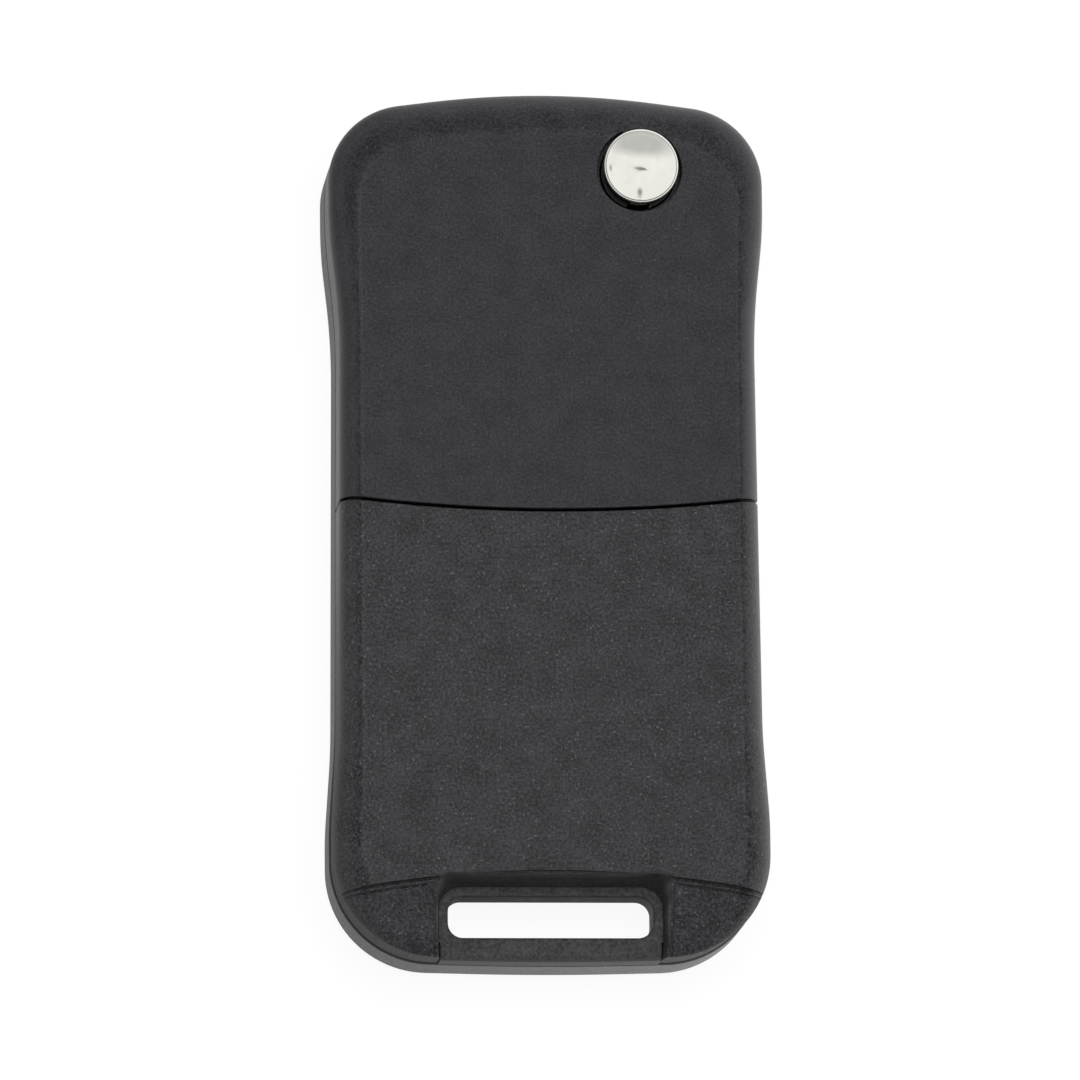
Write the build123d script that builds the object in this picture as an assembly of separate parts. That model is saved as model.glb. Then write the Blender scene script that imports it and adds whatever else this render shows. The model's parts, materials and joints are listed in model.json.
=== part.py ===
from build123d import *

import math
import os
from dataclasses import dataclass, fields

# A folded flip remote key lying on its button face. X runs across it, Y toward the release button,
# Z up through the back. The origin is under the middle, on the plane of the button face.

# Case plan: an hourglass between two flares. A drop is measured from the top end and a rise from the
# bottom end of the case.
CASE_LENGTH = 76.0
TOP_FLARE_HALF = 19.0
TOP_FLARE_DROP = 12.0
UPPER_WAIST_HALF = 18.1
UPPER_WAIST_DROP = 20.1
LOWER_WAIST_HALF = 18.4
LOWER_WAIST_RISE = 19.5
BOTTOM_FLARE_HALF = 18.95
BOTTOM_FLARE_RISE = 12.0
TOP_CORNER_RADIUS = 7.0
BOTTOM_CORNER_RADIUS = 8.9
TOP_END_SLOPE = 7.5
BOTTOM_END_SLOPE = 1.4
TOP_END_RADIUS = 77.0
BOTTOM_END_RADIUS = 280.0
FLARE_RADIUS = 40.0
WAIST_RADIUS = 60.0
TAPER_SHARE = 0.45
SIDE_SHARE = 0.9

# Case heights and walls
PARTING_Z = 7.4
PARTING_GAP = 0.1
SHOULDER_Z = 12.6
PANEL_Z = 15.6
WALL = 1.4
FRONT_EDGE_RADIUS = 2.0
FRONT_EDGE_BANDS = 3
CAVITY_BEVEL_Z = 11.4
CAVITY_BEVEL_RUN = 2.2
WALL_CLEARANCE = 0.1

# Flat back panel and the convex shoulder round it
PANEL_HALF = 16.5
PANEL_FLARE = 0.1
PANEL_TOP_DROP = 3.8
PANEL_BOTTOM_RISE = 2.6
PANEL_TOP_CORNER = 5.6
PANEL_BOTTOM_CORNER = 7.0
SHOULDER_SWEEP = 62.0
SHOULDER_BANDS = 3

# Seam between the back shell and the battery cover
SEAM_Y = 0.75
SEAM_RADIUS = 145.0
SEAM_GAP = 0.25

# Corner pads beside the key-ring recess
STEP_RISE = 7.3
STEP_RADIUS = 97.0
STEP_DEPTH = 0.35
PAD_SLOPE = 21.0

# Key-ring recess, web, slot and bar
RECESS_HALF = 9.7
RECESS_RISE = 6.45
RECESS_DRAFT = 7.5
RECESS_CORNER = 2.0
WEB_BOTTOM_Z = 6.8
WEB_TOP_Z = 10.8
WEB_RISE = 8.1
SLOT_LENGTH = 17.8
SLOT_WIDTH = 3.55
SLOT_CORNER = 1.3
SLOT_RISE = 3.85
BAR_CHAMFER = 0.6
FRONT_BAR_WALL = 1.7
INSERT_GAP = 0.12
SCREW_X = 13.2
SCREW_RISE = 5.0
SCREW_RADIUS = 1.0
SCREW_HEAD_RADIUS = 1.9
SCREW_HEAD_HEIGHT = 0.9
SCREW_LENGTH = 7.0
SCREW_CLEARANCE = 0.06
BOSS_WALL = 1.0

# Release button, hub and blade pivot
PIVOT_X = 8.0
PIVOT_DROP = 7.1
CAP_RADIUS = 3.28
CAP_EDGE_Z = 17.0
CAP_DOME = 0.6
CAP_HOLE_RADIUS = 3.68
CAP_BORE_RADIUS = 2.4
CAP_BOTTOM_Z = 6.3
CAP_CEILING_Z = 15.4
BUTTON_FIT = 0.1
RELEASE_TRAVEL = 2.5
LUG_REACH = 4.7
LUG_WIDTH = 2.0
LUG_Z = 11.3
LUG_HEIGHT = 1.4
LUG_CLEARANCE = 0.15
HUB_RADIUS = 5.5
HUB_JOURNAL_RADIUS = 4.2
HUB_FOOT_RADIUS = 4.0
HUB_FLOOR_Z = 3.4
HUB_TOP_Z = 13.9
JOURNAL_FIT = 0.08
BEARING_WALL = 1.2
FRONT_BEARING_TOP_Z = 4.3
BACK_BEARING_BOTTOM_Z = 10.4
BACK_BEARING_SEAT_Z = 13.1
WASHER_THICKNESS = 0.3
WASHER_BORE_RADIUS = 1.5
WASHER_GAP = 0.03
SPRING_WIRE = 0.6
SPRING_RADIUS = 1.75
SPRING_TURNS = 3.0

# Blade and the channel that it folds into
SLOT_BOTTOM_Z = 5.6
SLOT_TOP_Z = 9.2
SLOT_END_RISE = 9.5
BLADE_OFFSET = 5.2
BLADE_WIDTH = 7.8
BLADE_THICKNESS = 2.2
BLADE_TIP_GAP = 2.4
BLADE_ROOT = 4.0
BLADE_TIP = 3.4
BLADE_TRACK_DEPTH = 0.55
BLADE_TRACK_WIDTH = 2.2
BLADE_TRACK_WAVE = 1.1
BLADE_TRACK_PITCH = 17.0
BLADE_TRACK_START = 15.0
ARM_LENGTH = 10.0
ARM_SHOULDER = 3.2
ARM_ROUND = 1.4
ARM_GAP = 0.2
SWING_CLEARANCE = 0.4
PIN_RADIUS = 1.0
PIN_FIT = 0.03
LINER_WALL = 1.1
LINER_PLATE = 1.0

# Buttons on the front face
BUTTON_NAMES = ("lock", "unlock", "trunk")
BUTTON_DROP = 21.0
BUTTON_PITCH = 13.6
BUTTON_LENGTH = 21.0
BUTTON_WIDTH = 10.4
BUTTON_CORNER = 3.6
BUTTON_RECESS = 0.15
BUTTON_GAP = 0.18
BUTTON_EDGE = 0.5
BUTTON_SKIN = 1.1
FLANGE_REACH = 0.7
FLANGE_HEIGHT = 0.6
FLANGE_GAP = 0.05
PUSHER_WIDTH = 3.2
PUSHER_Z = 2.4

# Silicone domes and sheet
DOME_TOP_RADIUS = 2.0
DOME_BASE_RADIUS = 3.6
SHEET_THICKNESS = 0.5
SHEET_GAP = 0.05
SHEET_HALF = 6.2
SHEET_MARGIN = 5.8

# Circuit board and what stands on it
BOARD_Z = 4.6
BOARD_THICKNESS = 1.0
BOARD_LEFT_X = -15.4
BOARD_RIGHT_X = 7.3
BOARD_RISE = 11.0
BOARD_STEP_DROP = 15.7
BOARD_DROP = 7.4
BOARD_TOP_RIGHT_X = -2.6
POST_WIDTH = 2.4
BOARD_POST_X = -13.4
BOARD_POST_MARGIN = 1.4
LINER_POST_X = 13.3
BOARD_BLOCKS = {
    "microcontroller": (-8.0, 22.5, 7.0, 7.0, 1.0),
    "radio_chip": (1.5, 24.5, 4.0, 4.0, 0.9),
    "crystal": (1.5, 19.4, 3.2, 2.5, 0.8),
    "transponder_coil": (-5.0, 29.6, 11.4, 3.4, 2.6),
}
ANTENNA_X = -9.2
ANTENNA_DROP = 13.4
ANTENNA_LENGTH = 9.6
ANTENNA_WIDTH = 8.4
ANTENNA_STRIP = 0.8
ANTENNA_HEIGHT = 0.4
ANTENNA_OPENING = 2.0

# Coin cell, holder and contacts
CELL_X = -4.6
CELL_RISE = 23.8
CELL_RADIUS = 10.0
CELL_HEIGHT = 3.2
CELL_STEP = 1.3
CELL_CAP_HEIGHT = 0.4
CELL_Z = 8.3
HOLDER_GAP = 0.15
HOLDER_WALL = 0.9
HOLDER_TOP_Z = 11.3
HOLDER_FLOOR_Z = 8.2
HOLDER_WINDOW_RADIUS = 6.0
CONTACT_THICKNESS = 0.25
CONTACT_WIDTH = 4.5
CONTACT_FOOT = 1.5
CONTACT_MARGIN = 1.0
FINGER_ANGLE = 200.0

# Light guide of the status lamp
LAMP_X = -7.0
LAMP_DROP = 10.6
LAMP_RADIUS = 1.1
LAMP_HEIGHT = 0.8
LAMP_LENGTH = 1.6
LAMP_WIDTH = 1.0
LAMP_FIT = 0.05

# Dowels that hold the back shell on the front shell
DOWEL_PLACES = ((-9.0, 4.6), (0.2, 13.1))
DOWEL_WIDTH = 1.8
DOWEL_BOSS_WIDTH = 3.4
DOWEL_DEPTH = 3.0
DOWEL_FIT = 0.05

# Worked out from the sizes above
CASE_HALF = CASE_LENGTH / 2
TOP_FLARE_Y = CASE_HALF - TOP_FLARE_DROP
UPPER_WAIST_Y = CASE_HALF - UPPER_WAIST_DROP
LOWER_WAIST_Y = LOWER_WAIST_RISE - CASE_HALF
BOTTOM_FLARE_Y = BOTTOM_FLARE_RISE - CASE_HALF
PANEL_TOP_Y = CASE_HALF - PANEL_TOP_DROP
PANEL_BOTTOM_Y = PANEL_BOTTOM_RISE - CASE_HALF
STEP_Y = STEP_RISE - CASE_HALF
RECESS_END_Y = RECESS_RISE - CASE_HALF
WEB_START_Y = WEB_RISE - CASE_HALF
SLOT_Y = SLOT_RISE - CASE_HALF
SCREW_Y = SCREW_RISE - CASE_HALF
PIVOT_Y = CASE_HALF - PIVOT_DROP
SLOT_END_Y = SLOT_END_RISE - CASE_HALF
BLADE_REACH = PIVOT_Y - SLOT_END_Y - BLADE_TIP_GAP
BUTTON_TOP_Y = CASE_HALF - BUTTON_DROP
BOARD_BOTTOM_Y = BOARD_RISE - CASE_HALF
BOARD_STEP_Y = CASE_HALF - BOARD_STEP_DROP
BOARD_TOP_Y = CASE_HALF - BOARD_DROP
CELL_Y = CELL_RISE - CASE_HALF
LAMP_Y = CASE_HALF - LAMP_DROP
DOWELS = [(x, CASE_HALF - drop) for x, drop in DOWEL_PLACES]
UPPER_START_Z = PARTING_Z + PARTING_GAP
CEILING_Z = PANEL_Z - WALL
BOARD_TOP_Z = BOARD_Z + BOARD_THICKNESS
BLADE_Z = (SLOT_BOTTOM_Z + SLOT_TOP_Z - BLADE_THICKNESS) / 2
ARM_INNER = BLADE_OFFSET - BLADE_WIDTH / 2
ARM_OUTER = BLADE_OFFSET + BLADE_WIDTH / 2
HUB_BORE_RADIUS = CAP_RADIUS + BUTTON_FIT
HUB_BOTTOM_Z = WALL + WASHER_THICKNESS + WASHER_GAP
RECESS_TOP_Y = RECESS_END_Y + (PANEL_Z - WEB_TOP_Z) * math.tan(math.radians(RECESS_DRAFT))
FAR = 60.0
PAST = 1.0

PARTS = {}


def rod(x, y, z, radius, height):
    """Upright cylinder standing on height z."""
    return Pos(x, y, z) * Cylinder(radius, height, align=(Align.CENTER, Align.CENTER, Align.MIN))


def block(x0, x1, y0, y1, z0, z1):
    """Box between two corners."""
    return Pos(x0, y0, z0) * Box(x1 - x0, y1 - y0, z1 - z0, align=(Align.MIN,) * 3)


def slab(face, z, height):
    """Plan face raised from height z."""
    return Pos(0, 0, z) * extrude(face, amount=height)


def rounded_face(points, radii):
    """Closed face from corner points, each with its own radius."""
    return make_face(FilletPolyline(*points, radius=radii, close=True))


def rounded_rectangle(x, y, length, width, corner):
    """Rectangle with round corners, centred on a point."""
    return Pos(x, y) * RectangleRounded(length, width, corner)


def post(x, y, bottom, top, width):
    """Square upright post."""
    half = width / 2
    return block(x - half, x + half, y - half, y + half, bottom, top)


def lathe(points, x=PIVOT_X, y=PIVOT_Y):
    """Solid turned about an upright axis from (radius, height) points."""
    face = make_face(Plane.XZ * Polyline(*points, close=True))
    return Pos(x, y) * revolve(face, Axis.Z)


def leaf(points, thickness, width, plane):
    """Bent strip of sheet metal from the (run, height) points of its lower side."""
    upper = [(run, height + thickness) for run, height in reversed(points)]
    face = make_face(plane * Polyline(*points, *upper, close=True))
    return extrude(face, amount=width / 2, both=True)


@dataclass(frozen=True)
class Plan:
    """Hourglass plan shape, alike on both sides of the centre line."""

    top_flare: float
    upper_waist: float
    lower_waist: float
    bottom_flare: float
    top_y: float
    bottom_y: float
    top_corner: float
    bottom_corner: float

    def toward(self, other, share):
        """Plan between this one and another."""
        pairs = [(getattr(self, f.name), getattr(other, f.name)) for f in fields(self)]
        return Plan(*[a + (b - a) * share for a, b in pairs])

    def inset(self, wall):
        """Plan inside this one by a wall."""
        return Plan(
            self.top_flare - wall,
            self.upper_waist - wall,
            self.lower_waist - wall,
            self.bottom_flare - wall,
            self.top_y - wall,
            self.bottom_y + wall,
            self.top_corner - wall,
            self.bottom_corner - wall,
        )

    def face(self):
        """Face with arched ends, round corners and soft flares."""
        top_peak = self.top_y + arch_rise(TOP_END_SLOPE, TOP_END_RADIUS)
        bottom_peak = self.bottom_y - arch_rise(BOTTOM_END_SLOPE, BOTTOM_END_RADIUS)
        top_drop = self.top_flare * math.tan(math.radians(TOP_END_SLOPE))
        bottom_drop = self.bottom_flare * math.tan(math.radians(BOTTOM_END_SLOPE))
        top_run = self.top_flare - self.upper_waist
        top_rise = TOP_FLARE_Y - UPPER_WAIST_Y
        bottom_run = self.bottom_flare - self.lower_waist
        bottom_rise = LOWER_WAIST_Y - BOTTOM_FLARE_Y
        top_side = top_peak - top_drop - corner_run(self.top_corner, TOP_END_SLOPE) - TOP_FLARE_Y
        bottom_side = BOTTOM_FLARE_Y - bottom_peak - bottom_drop
        bottom_side -= corner_run(self.bottom_corner, BOTTOM_END_SLOPE)
        middle = (UPPER_WAIST_Y - LOWER_WAIST_Y) / 2
        lower_radii = soft_radii(bottom_run, bottom_rise, bottom_side, middle)
        upper_radii = soft_radii(top_run, top_rise, top_side, middle)
        side = [
            (self.bottom_flare, bottom_peak + bottom_drop, self.bottom_corner),
            (self.bottom_flare, BOTTOM_FLARE_Y, lower_radii[0]),
            (self.lower_waist, LOWER_WAIST_Y, lower_radii[1]),
            (self.upper_waist, UPPER_WAIST_Y, upper_radii[1]),
            (self.top_flare, TOP_FLARE_Y, upper_radii[0]),
            (self.top_flare, top_peak - top_drop, self.top_corner),
        ]
        left = [(-x, y, radius) for x, y, radius in reversed(side)]
        corners = [(0, bottom_peak, BOTTOM_END_RADIUS), *side, (0, top_peak, TOP_END_RADIUS), *left]
        return rounded_face([(x, y) for x, y, _ in corners], [radius for _, _, radius in corners])


def soft_radii(run, rise, side, middle):
    """Flare and waist radius of a taper, kept within the straight runs on both sides of each."""
    bend = math.tan(math.atan2(abs(run), abs(rise)) / 2)
    taper = TAPER_SHARE * math.hypot(run, rise)
    flare = min(FLARE_RADIUS, taper / bend, SIDE_SHARE * side / bend)
    return flare, min(WAIST_RADIUS, taper / bend, SIDE_SHARE * middle / bend)


def corner_run(radius, slope):
    """Length of the side that a corner beside a sloping end takes up."""
    return radius * math.tan(math.radians(90 - slope) / 2)


def arch_rise(slope, radius):
    """How far the meeting point of two end edges stands past the arch between them."""
    return radius * (1 / math.cos(math.radians(slope)) - 1)


OUTLINE = Plan(
    TOP_FLARE_HALF,
    UPPER_WAIST_HALF,
    LOWER_WAIST_HALF,
    BOTTOM_FLARE_HALF,
    CASE_HALF,
    -CASE_HALF,
    TOP_CORNER_RADIUS,
    BOTTOM_CORNER_RADIUS,
)
PANEL = Plan(
    PANEL_HALF + PANEL_FLARE,
    PANEL_HALF,
    PANEL_HALF,
    PANEL_HALF + PANEL_FLARE,
    PANEL_TOP_Y,
    PANEL_BOTTOM_Y,
    PANEL_TOP_CORNER,
    PANEL_BOTTOM_CORNER,
)


# Case


def upper_body(drop):
    """Solid back half: upright wall, then a convex shoulder up to the crease of the panel."""
    wall_top = SHOULDER_Z - drop
    sweep = math.radians(SHOULDER_SWEEP)
    sections = []
    for index in range(SHOULDER_BANDS + 1):
        angle = sweep * index / SHOULDER_BANDS
        share = (1 - math.cos(angle)) / (1 - math.cos(sweep))
        height = wall_top + (PANEL_Z - SHOULDER_Z) * math.sin(angle) / math.sin(sweep)
        sections.append(Pos(0, 0, height) * OUTLINE.toward(PANEL, share).face())
    wall = slab(OUTLINE.face(), UPPER_START_Z, wall_top - UPPER_START_Z)
    return wall + loft(sections, ruled=True)


def upper_cavity():
    """Hollow of the back half, with a bevel under the shoulder."""
    inner = OUTLINE.inset(WALL)
    bevel = inner.inset(CAVITY_BEVEL_RUN)
    straight = slab(inner.face(), UPPER_START_Z, CAVITY_BEVEL_Z - UPPER_START_Z)
    sections = [Pos(0, 0, CAVITY_BEVEL_Z) * inner.face(), Pos(0, 0, CEILING_Z) * bevel.face()]
    return straight + loft(sections, ruled=True)


def below_pads(drop):
    """Space under the sloping corner pads, lowered by a wall where one is given."""
    start = RECESS_TOP_Y + FAR
    run = FAR / 2
    top = PANEL_Z - STEP_DEPTH - drop
    low = top - math.tan(math.radians(PAD_SLOPE)) * run
    points = [(start, 0), (start, top), (STEP_Y, top), (STEP_Y - run, low), (STEP_Y - run, 0)]
    face = make_face(Plane.YZ * Polyline(*points, close=True))
    return extrude(face, amount=FAR / 2, both=True)


def seam_side(shift):
    """Everything above the bowed seam, moved up by a share of its gap."""
    centre_y = SEAM_Y + SEAM_RADIUS + shift
    return slab(Pos(0, centre_y) * Circle(SEAM_RADIUS), 0, FAR)


def recess_tool(grow, start_z):
    """Drafted key-ring recess from a height upward, grown by a wall where one is given."""
    half = RECESS_HALF + grow
    top = RECESS_END_Y + grow
    points = [(-half, -FAR), (half, -FAR), (half, top), (-half, top)]
    corner = RECESS_CORNER + grow
    face = rounded_face(points, [0, 0, corner, corner])
    draft = extrude(face, amount=PANEL_Z - WEB_TOP_Z + PAST, taper=-RECESS_DRAFT)
    return (Pos(0, 0, WEB_TOP_Z) * draft) & block(-FAR, FAR, -FAR, FAR, start_z, FAR)


def swing_face(grow):
    """Plan of the space that the hub and blade sweep, grown by a wall where one is given."""
    clear = SWING_CLEARANCE + grow
    stowed = Pos((PIVOT_X + ARM_INNER - clear + FAR) / 2, (PIVOT_Y + SLOT_END_Y - grow) / 2) * Rectangle(
        FAR - PIVOT_X - ARM_INNER + clear, PIVOT_Y - SLOT_END_Y + grow
    )
    left = PIVOT_X - ARM_OUTER - clear
    low = PIVOT_Y - SWING_CLEARANCE - grow
    opened = Pos((left + FAR) / 2, (low + FAR) / 2) * Rectangle(FAR - left, FAR - low)
    hub = Pos(PIVOT_X, PIVOT_Y) * Circle(HUB_RADIUS + SWING_CLEARANCE + grow)
    return stowed + opened + hub


def swing_space():
    """Space between the two walls of the blade slot that is kept clear."""
    return slab(swing_face(0), SLOT_BOTTOM_Z, SLOT_TOP_Z - SLOT_BOTTOM_Z)


def back_bearing_bore():
    """Space under the ceiling for the hub's journal, wider below its seat so that the lugs pass."""
    groove = rod(PIVOT_X, PIVOT_Y, 0, LUG_REACH + LUG_CLEARANCE, BACK_BEARING_SEAT_Z)
    return groove + rod(PIVOT_X, PIVOT_Y, 0, HUB_JOURNAL_RADIUS + JOURNAL_FIT, CEILING_Z)


def dowels(start_z, end_z, width):
    """Upright square pieces at the dowel places."""
    return [post(x, y, start_z, end_z, width) for x, y in DOWELS]


def build_back_shell():
    """Upper back of the case, with the button hole, the hub's bearing and two dowels."""
    body = upper_body(0)
    ring_radius = LUG_REACH + LUG_CLEARANCE + BEARING_WALL
    ring = rod(PIVOT_X, PIVOT_Y, BACK_BEARING_BOTTOM_Z, ring_radius, CEILING_Z - BACK_BEARING_BOTTOM_Z)
    shell = body - upper_cavity() + (ring & body) - back_bearing_bore()
    shell += dowels(UPPER_START_Z, CEILING_Z + WALL / 2, DOWEL_BOSS_WIDTH)
    shell -= swing_space()
    shell &= seam_side(SEAM_GAP / 2)
    shell -= rod(PIVOT_X, PIVOT_Y, 0, CAP_HOLE_RADIUS, FAR)
    return shell + dowels(PARTING_Z - DOWEL_DEPTH, UPPER_START_Z, DOWEL_WIDTH)


def build_battery_cover():
    """Lower back of the case, stepped down to its corner pads and notched round the bar."""
    pad_plan = slab(Pos(0, STEP_Y - STEP_RADIUS) * Circle(STEP_RADIUS), 0, FAR)
    pads = upper_body(STEP_DEPTH) & pad_plan & below_pads(0)
    body = (upper_body(0) - pad_plan) + pads
    foot_z = WEB_TOP_Z + INSERT_GAP
    hollow = (upper_cavity() & below_pads(WALL)) - recess_tool(WALL, foot_z)
    cover = body - hollow - recess_tool(0, foot_z)
    cover -= block(-RECESS_HALF, RECESS_HALF, -FAR, RECESS_END_Y, 0, foot_z)
    cover -= seam_side(-SEAM_GAP / 2)
    return cover - swing_space()


def front_recess(grow):
    """Hollow under the key-ring web, drafted toward the button face."""
    half = RECESS_HALF + grow
    top = RECESS_END_Y + grow
    low = FRONT_BAR_WALL - CASE_HALF - grow
    points = [(-half, -FAR), (half, -FAR), (half, top), (-half, top)]
    face = rounded_face(points, [0, 0, RECESS_CORNER, RECESS_CORNER])
    draft = extrude(face, amount=-WEB_BOTTOM_Z - grow, taper=-RECESS_DRAFT)
    return (Pos(0, 0, WEB_BOTTOM_Z) * draft) & block(-FAR, FAR, low, FAR, -FAR, FAR)


def front_edge():
    """Round edge between the wall and the button face."""
    sections = []
    for index in range(FRONT_EDGE_BANDS + 1):
        angle = math.pi / 2 * index / FRONT_EDGE_BANDS
        inset = FRONT_EDGE_RADIUS * (1 - math.cos(angle))
        height = FRONT_EDGE_RADIUS * (1 - math.sin(angle))
        sections.append(Pos(0, 0, height) * OUTLINE.inset(inset).face())
    return loft(sections, ruled=True)


def button_y(index):
    """Place of a button along the case."""
    return BUTTON_TOP_Y - BUTTON_PITCH * index


def front_posts():
    """Posts that carry the board, the liner, the insert and the dowels."""
    floor = WALL / 2
    low = BOARD_BOTTOM_Y + BOARD_POST_MARGIN
    high = BOARD_STEP_Y - BOARD_POST_MARGIN
    middle = (low + high) / 2
    places = [(BOARD_POST_X, low), (BOARD_POST_X, middle), (BOARD_POST_X, high)]
    places += [(LINER_POST_X, low), (LINER_POST_X, middle), (LINER_POST_X, high)]
    places.append((BOARD_RIGHT_X - BOARD_POST_MARGIN, low))
    ribs = [post(x, y, floor, BOARD_Z, POST_WIDTH) for x, y in places]
    bosses = dowels(floor, PARTING_Z, DOWEL_BOSS_WIDTH)
    screw_width = 2 * (SCREW_RADIUS + BOSS_WALL)
    screws = [post(side * SCREW_X, SCREW_Y, floor, WEB_BOTTOM_Z, screw_width) for side in (-1, 1)]
    return ribs + bosses + screws


def build_front_shell():
    """Button side of the case: a tray with round lower edges, windows, posts and the hub's socket."""
    tray = slab(OUTLINE.face(), FRONT_EDGE_RADIUS, PARTING_Z - FRONT_EDGE_RADIUS) + front_edge()
    hollow = slab(OUTLINE.inset(WALL).face(), WALL, PARTING_Z)
    shell = tray - (hollow - front_recess(WALL)) - front_recess(0)
    shell += front_posts()
    socket_radius = HUB_FOOT_RADIUS + JOURNAL_FIT
    shell += rod(PIVOT_X, PIVOT_Y, WALL / 2, socket_radius + BEARING_WALL, FRONT_BEARING_TOP_Z - WALL / 2)
    shell -= rod(PIVOT_X, PIVOT_Y, WALL, socket_radius, FAR)
    shell -= swing_space()
    for index in range(len(BUTTON_NAMES)):
        shell -= slab(button_outline(index, BUTTON_GAP), -PAST, WALL + 2 * PAST)
    shell -= rod(LAMP_X, LAMP_Y, -PAST, LAMP_RADIUS + LAMP_FIT, WALL + 2 * PAST)
    return shell - dowels(PARTING_Z - DOWEL_DEPTH - DOWEL_FIT, FAR, DOWEL_WIDTH + 2 * DOWEL_FIT)


def build_ring_insert():
    """Web with the key-ring slot, and the round-edged bar that closes the case's end."""
    half = RECESS_HALF - INSERT_GAP
    web_plan = OUTLINE.inset(WALL + INSERT_GAP).face() & Pos(0, WEB_START_Y - FAR / 2) * Rectangle(FAR, FAR)
    web = slab(web_plan, WEB_BOTTOM_Z, WEB_TOP_Z - WEB_BOTTOM_Z)
    bar_plan = OUTLINE.face() & Pos(0, SLOT_Y - FAR / 2) * Rectangle(2 * half, FAR)
    bar = slab(bar_plan, UPPER_START_Z, WEB_TOP_Z - UPPER_START_Z)
    outer_edges = bar.edges().group_by(Axis.Z)[-1].sort_by(Axis.Y)[:-1]
    bar = chamfer([e for e in outer_edges if e.center().Y < -CASE_HALF + WALL], BAR_CHAMFER)
    insert = web + bar
    insert -= slab(rounded_rectangle(0, SLOT_Y, SLOT_LENGTH, SLOT_WIDTH, SLOT_CORNER), 0, FAR)
    holes = [rod(side * SCREW_X, SCREW_Y, 0, SCREW_RADIUS + SCREW_CLEARANCE, FAR) for side in (-1, 1)]
    return insert - holes


def build_insert_screws():
    """The two self-tapping screws that hold the insert down on its bosses."""
    screws = []
    for side in (-1, 1):
        head = rod(side * SCREW_X, SCREW_Y, WEB_TOP_Z, SCREW_HEAD_RADIUS, SCREW_HEAD_HEIGHT)
        shank = rod(side * SCREW_X, SCREW_Y, WEB_TOP_Z - SCREW_LENGTH, SCREW_RADIUS, SCREW_LENGTH)
        screws.append(head + shank)
    return Compound(children=screws)


def build_blade_liner():
    """Channel of C section that the blade folds into, open to the side and the hub's end of the case."""
    inside = OUTLINE.inset(WALL + WALL_CLEARANCE).face()
    plate = swing_face(LINER_WALL) & inside
    height = SLOT_TOP_Z - SLOT_BOTTOM_Z + 2 * LINER_PLATE
    liner = slab(plate, SLOT_BOTTOM_Z - LINER_PLATE, height) - swing_space()
    liner -= rod(PIVOT_X, PIVOT_Y, 0, HUB_FOOT_RADIUS + ARM_GAP, SLOT_TOP_Z)
    return liner - rod(PIVOT_X, PIVOT_Y, SLOT_TOP_Z - PAST, LUG_REACH + LUG_CLEARANCE, FAR)


# Blade, hub and release button


def arm_point(along, across):
    """Plan point of the hub's arm, from its distances along and across the stowed blade."""
    return (PIVOT_X + across, PIVOT_Y - along)


def build_flip_hub():
    """Hub with its foot, journal and forked arm, bored for the button and slotted for the lugs."""
    arm_bottom = SLOT_BOTTOM_Z + ARM_GAP
    arm_height = SLOT_TOP_Z - SLOT_BOTTOM_Z - 2 * ARM_GAP
    hub = rod(PIVOT_X, PIVOT_Y, HUB_BOTTOM_Z, HUB_FOOT_RADIUS, arm_bottom - HUB_BOTTOM_Z)
    hub += rod(PIVOT_X, PIVOT_Y, arm_bottom, HUB_RADIUS, arm_height)
    arm_points = [
        arm_point(0, ARM_INNER),
        arm_point(0, HUB_RADIUS),
        arm_point(ARM_SHOULDER, ARM_OUTER),
        arm_point(ARM_LENGTH, ARM_OUTER),
        arm_point(ARM_LENGTH, ARM_INNER),
    ]
    arm_plan = rounded_face(arm_points, [0, 0, ARM_ROUND, 0, 0])
    hub += slab(arm_plan, arm_bottom, arm_height)
    hub += rod(PIVOT_X, PIVOT_Y, arm_bottom, HUB_JOURNAL_RADIUS, HUB_TOP_Z - arm_bottom)
    hub -= rod(PIVOT_X, PIVOT_Y, HUB_FLOOR_Z, HUB_BORE_RADIUS, FAR)
    slot_half = LUG_WIDTH / 2 + LUG_CLEARANCE
    slot_floor = LUG_Z - RELEASE_TRAVEL - LUG_CLEARANCE
    slot = block(PIVOT_X - slot_half, PIVOT_X + slot_half, PIVOT_Y - FAR, PIVOT_Y + FAR, slot_floor, FAR)
    hub -= slot & rod(PIVOT_X, PIVOT_Y, 0, LUG_REACH + LUG_CLEARANCE, FAR)
    x0, y0 = arm_point(ARM_LENGTH + PAST, ARM_INNER - PIN_FIT)
    x1, y1 = arm_point(BLADE_ROOT, ARM_OUTER + PAST)
    hub -= block(x0, x1, y0, y1, BLADE_Z - PIN_FIT, BLADE_Z + BLADE_THICKNESS + PIN_FIT)
    return hub - pin_rod(0, FAR, PIN_RADIUS + PIN_FIT)


def pin_rod(start_z, end_z, radius):
    """Upright rod at the place of the blade's pin."""
    x, y = arm_point((BLADE_ROOT + ARM_LENGTH) / 2, BLADE_OFFSET)
    return rod(x, y, start_z, radius, end_z - start_z)


def build_blade_pin():
    """Pin that holds the blade's root in the fork."""
    return pin_rod(SLOT_BOTTOM_Z + ARM_GAP, SLOT_TOP_Z - ARM_GAP, PIN_RADIUS)


def track_edge(shift):
    """Wavy line along the blade, moved across it."""
    quarter = BLADE_TRACK_PITCH / 4
    count = math.ceil((BLADE_REACH + PAST - BLADE_TRACK_START) / quarter) + 1
    points = []
    for index in range(count):
        wave = BLADE_TRACK_WAVE * math.sin(index * math.pi / 2)
        points.append(arm_point(BLADE_TRACK_START + quarter * index, BLADE_OFFSET + wave + shift))
    return points


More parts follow.
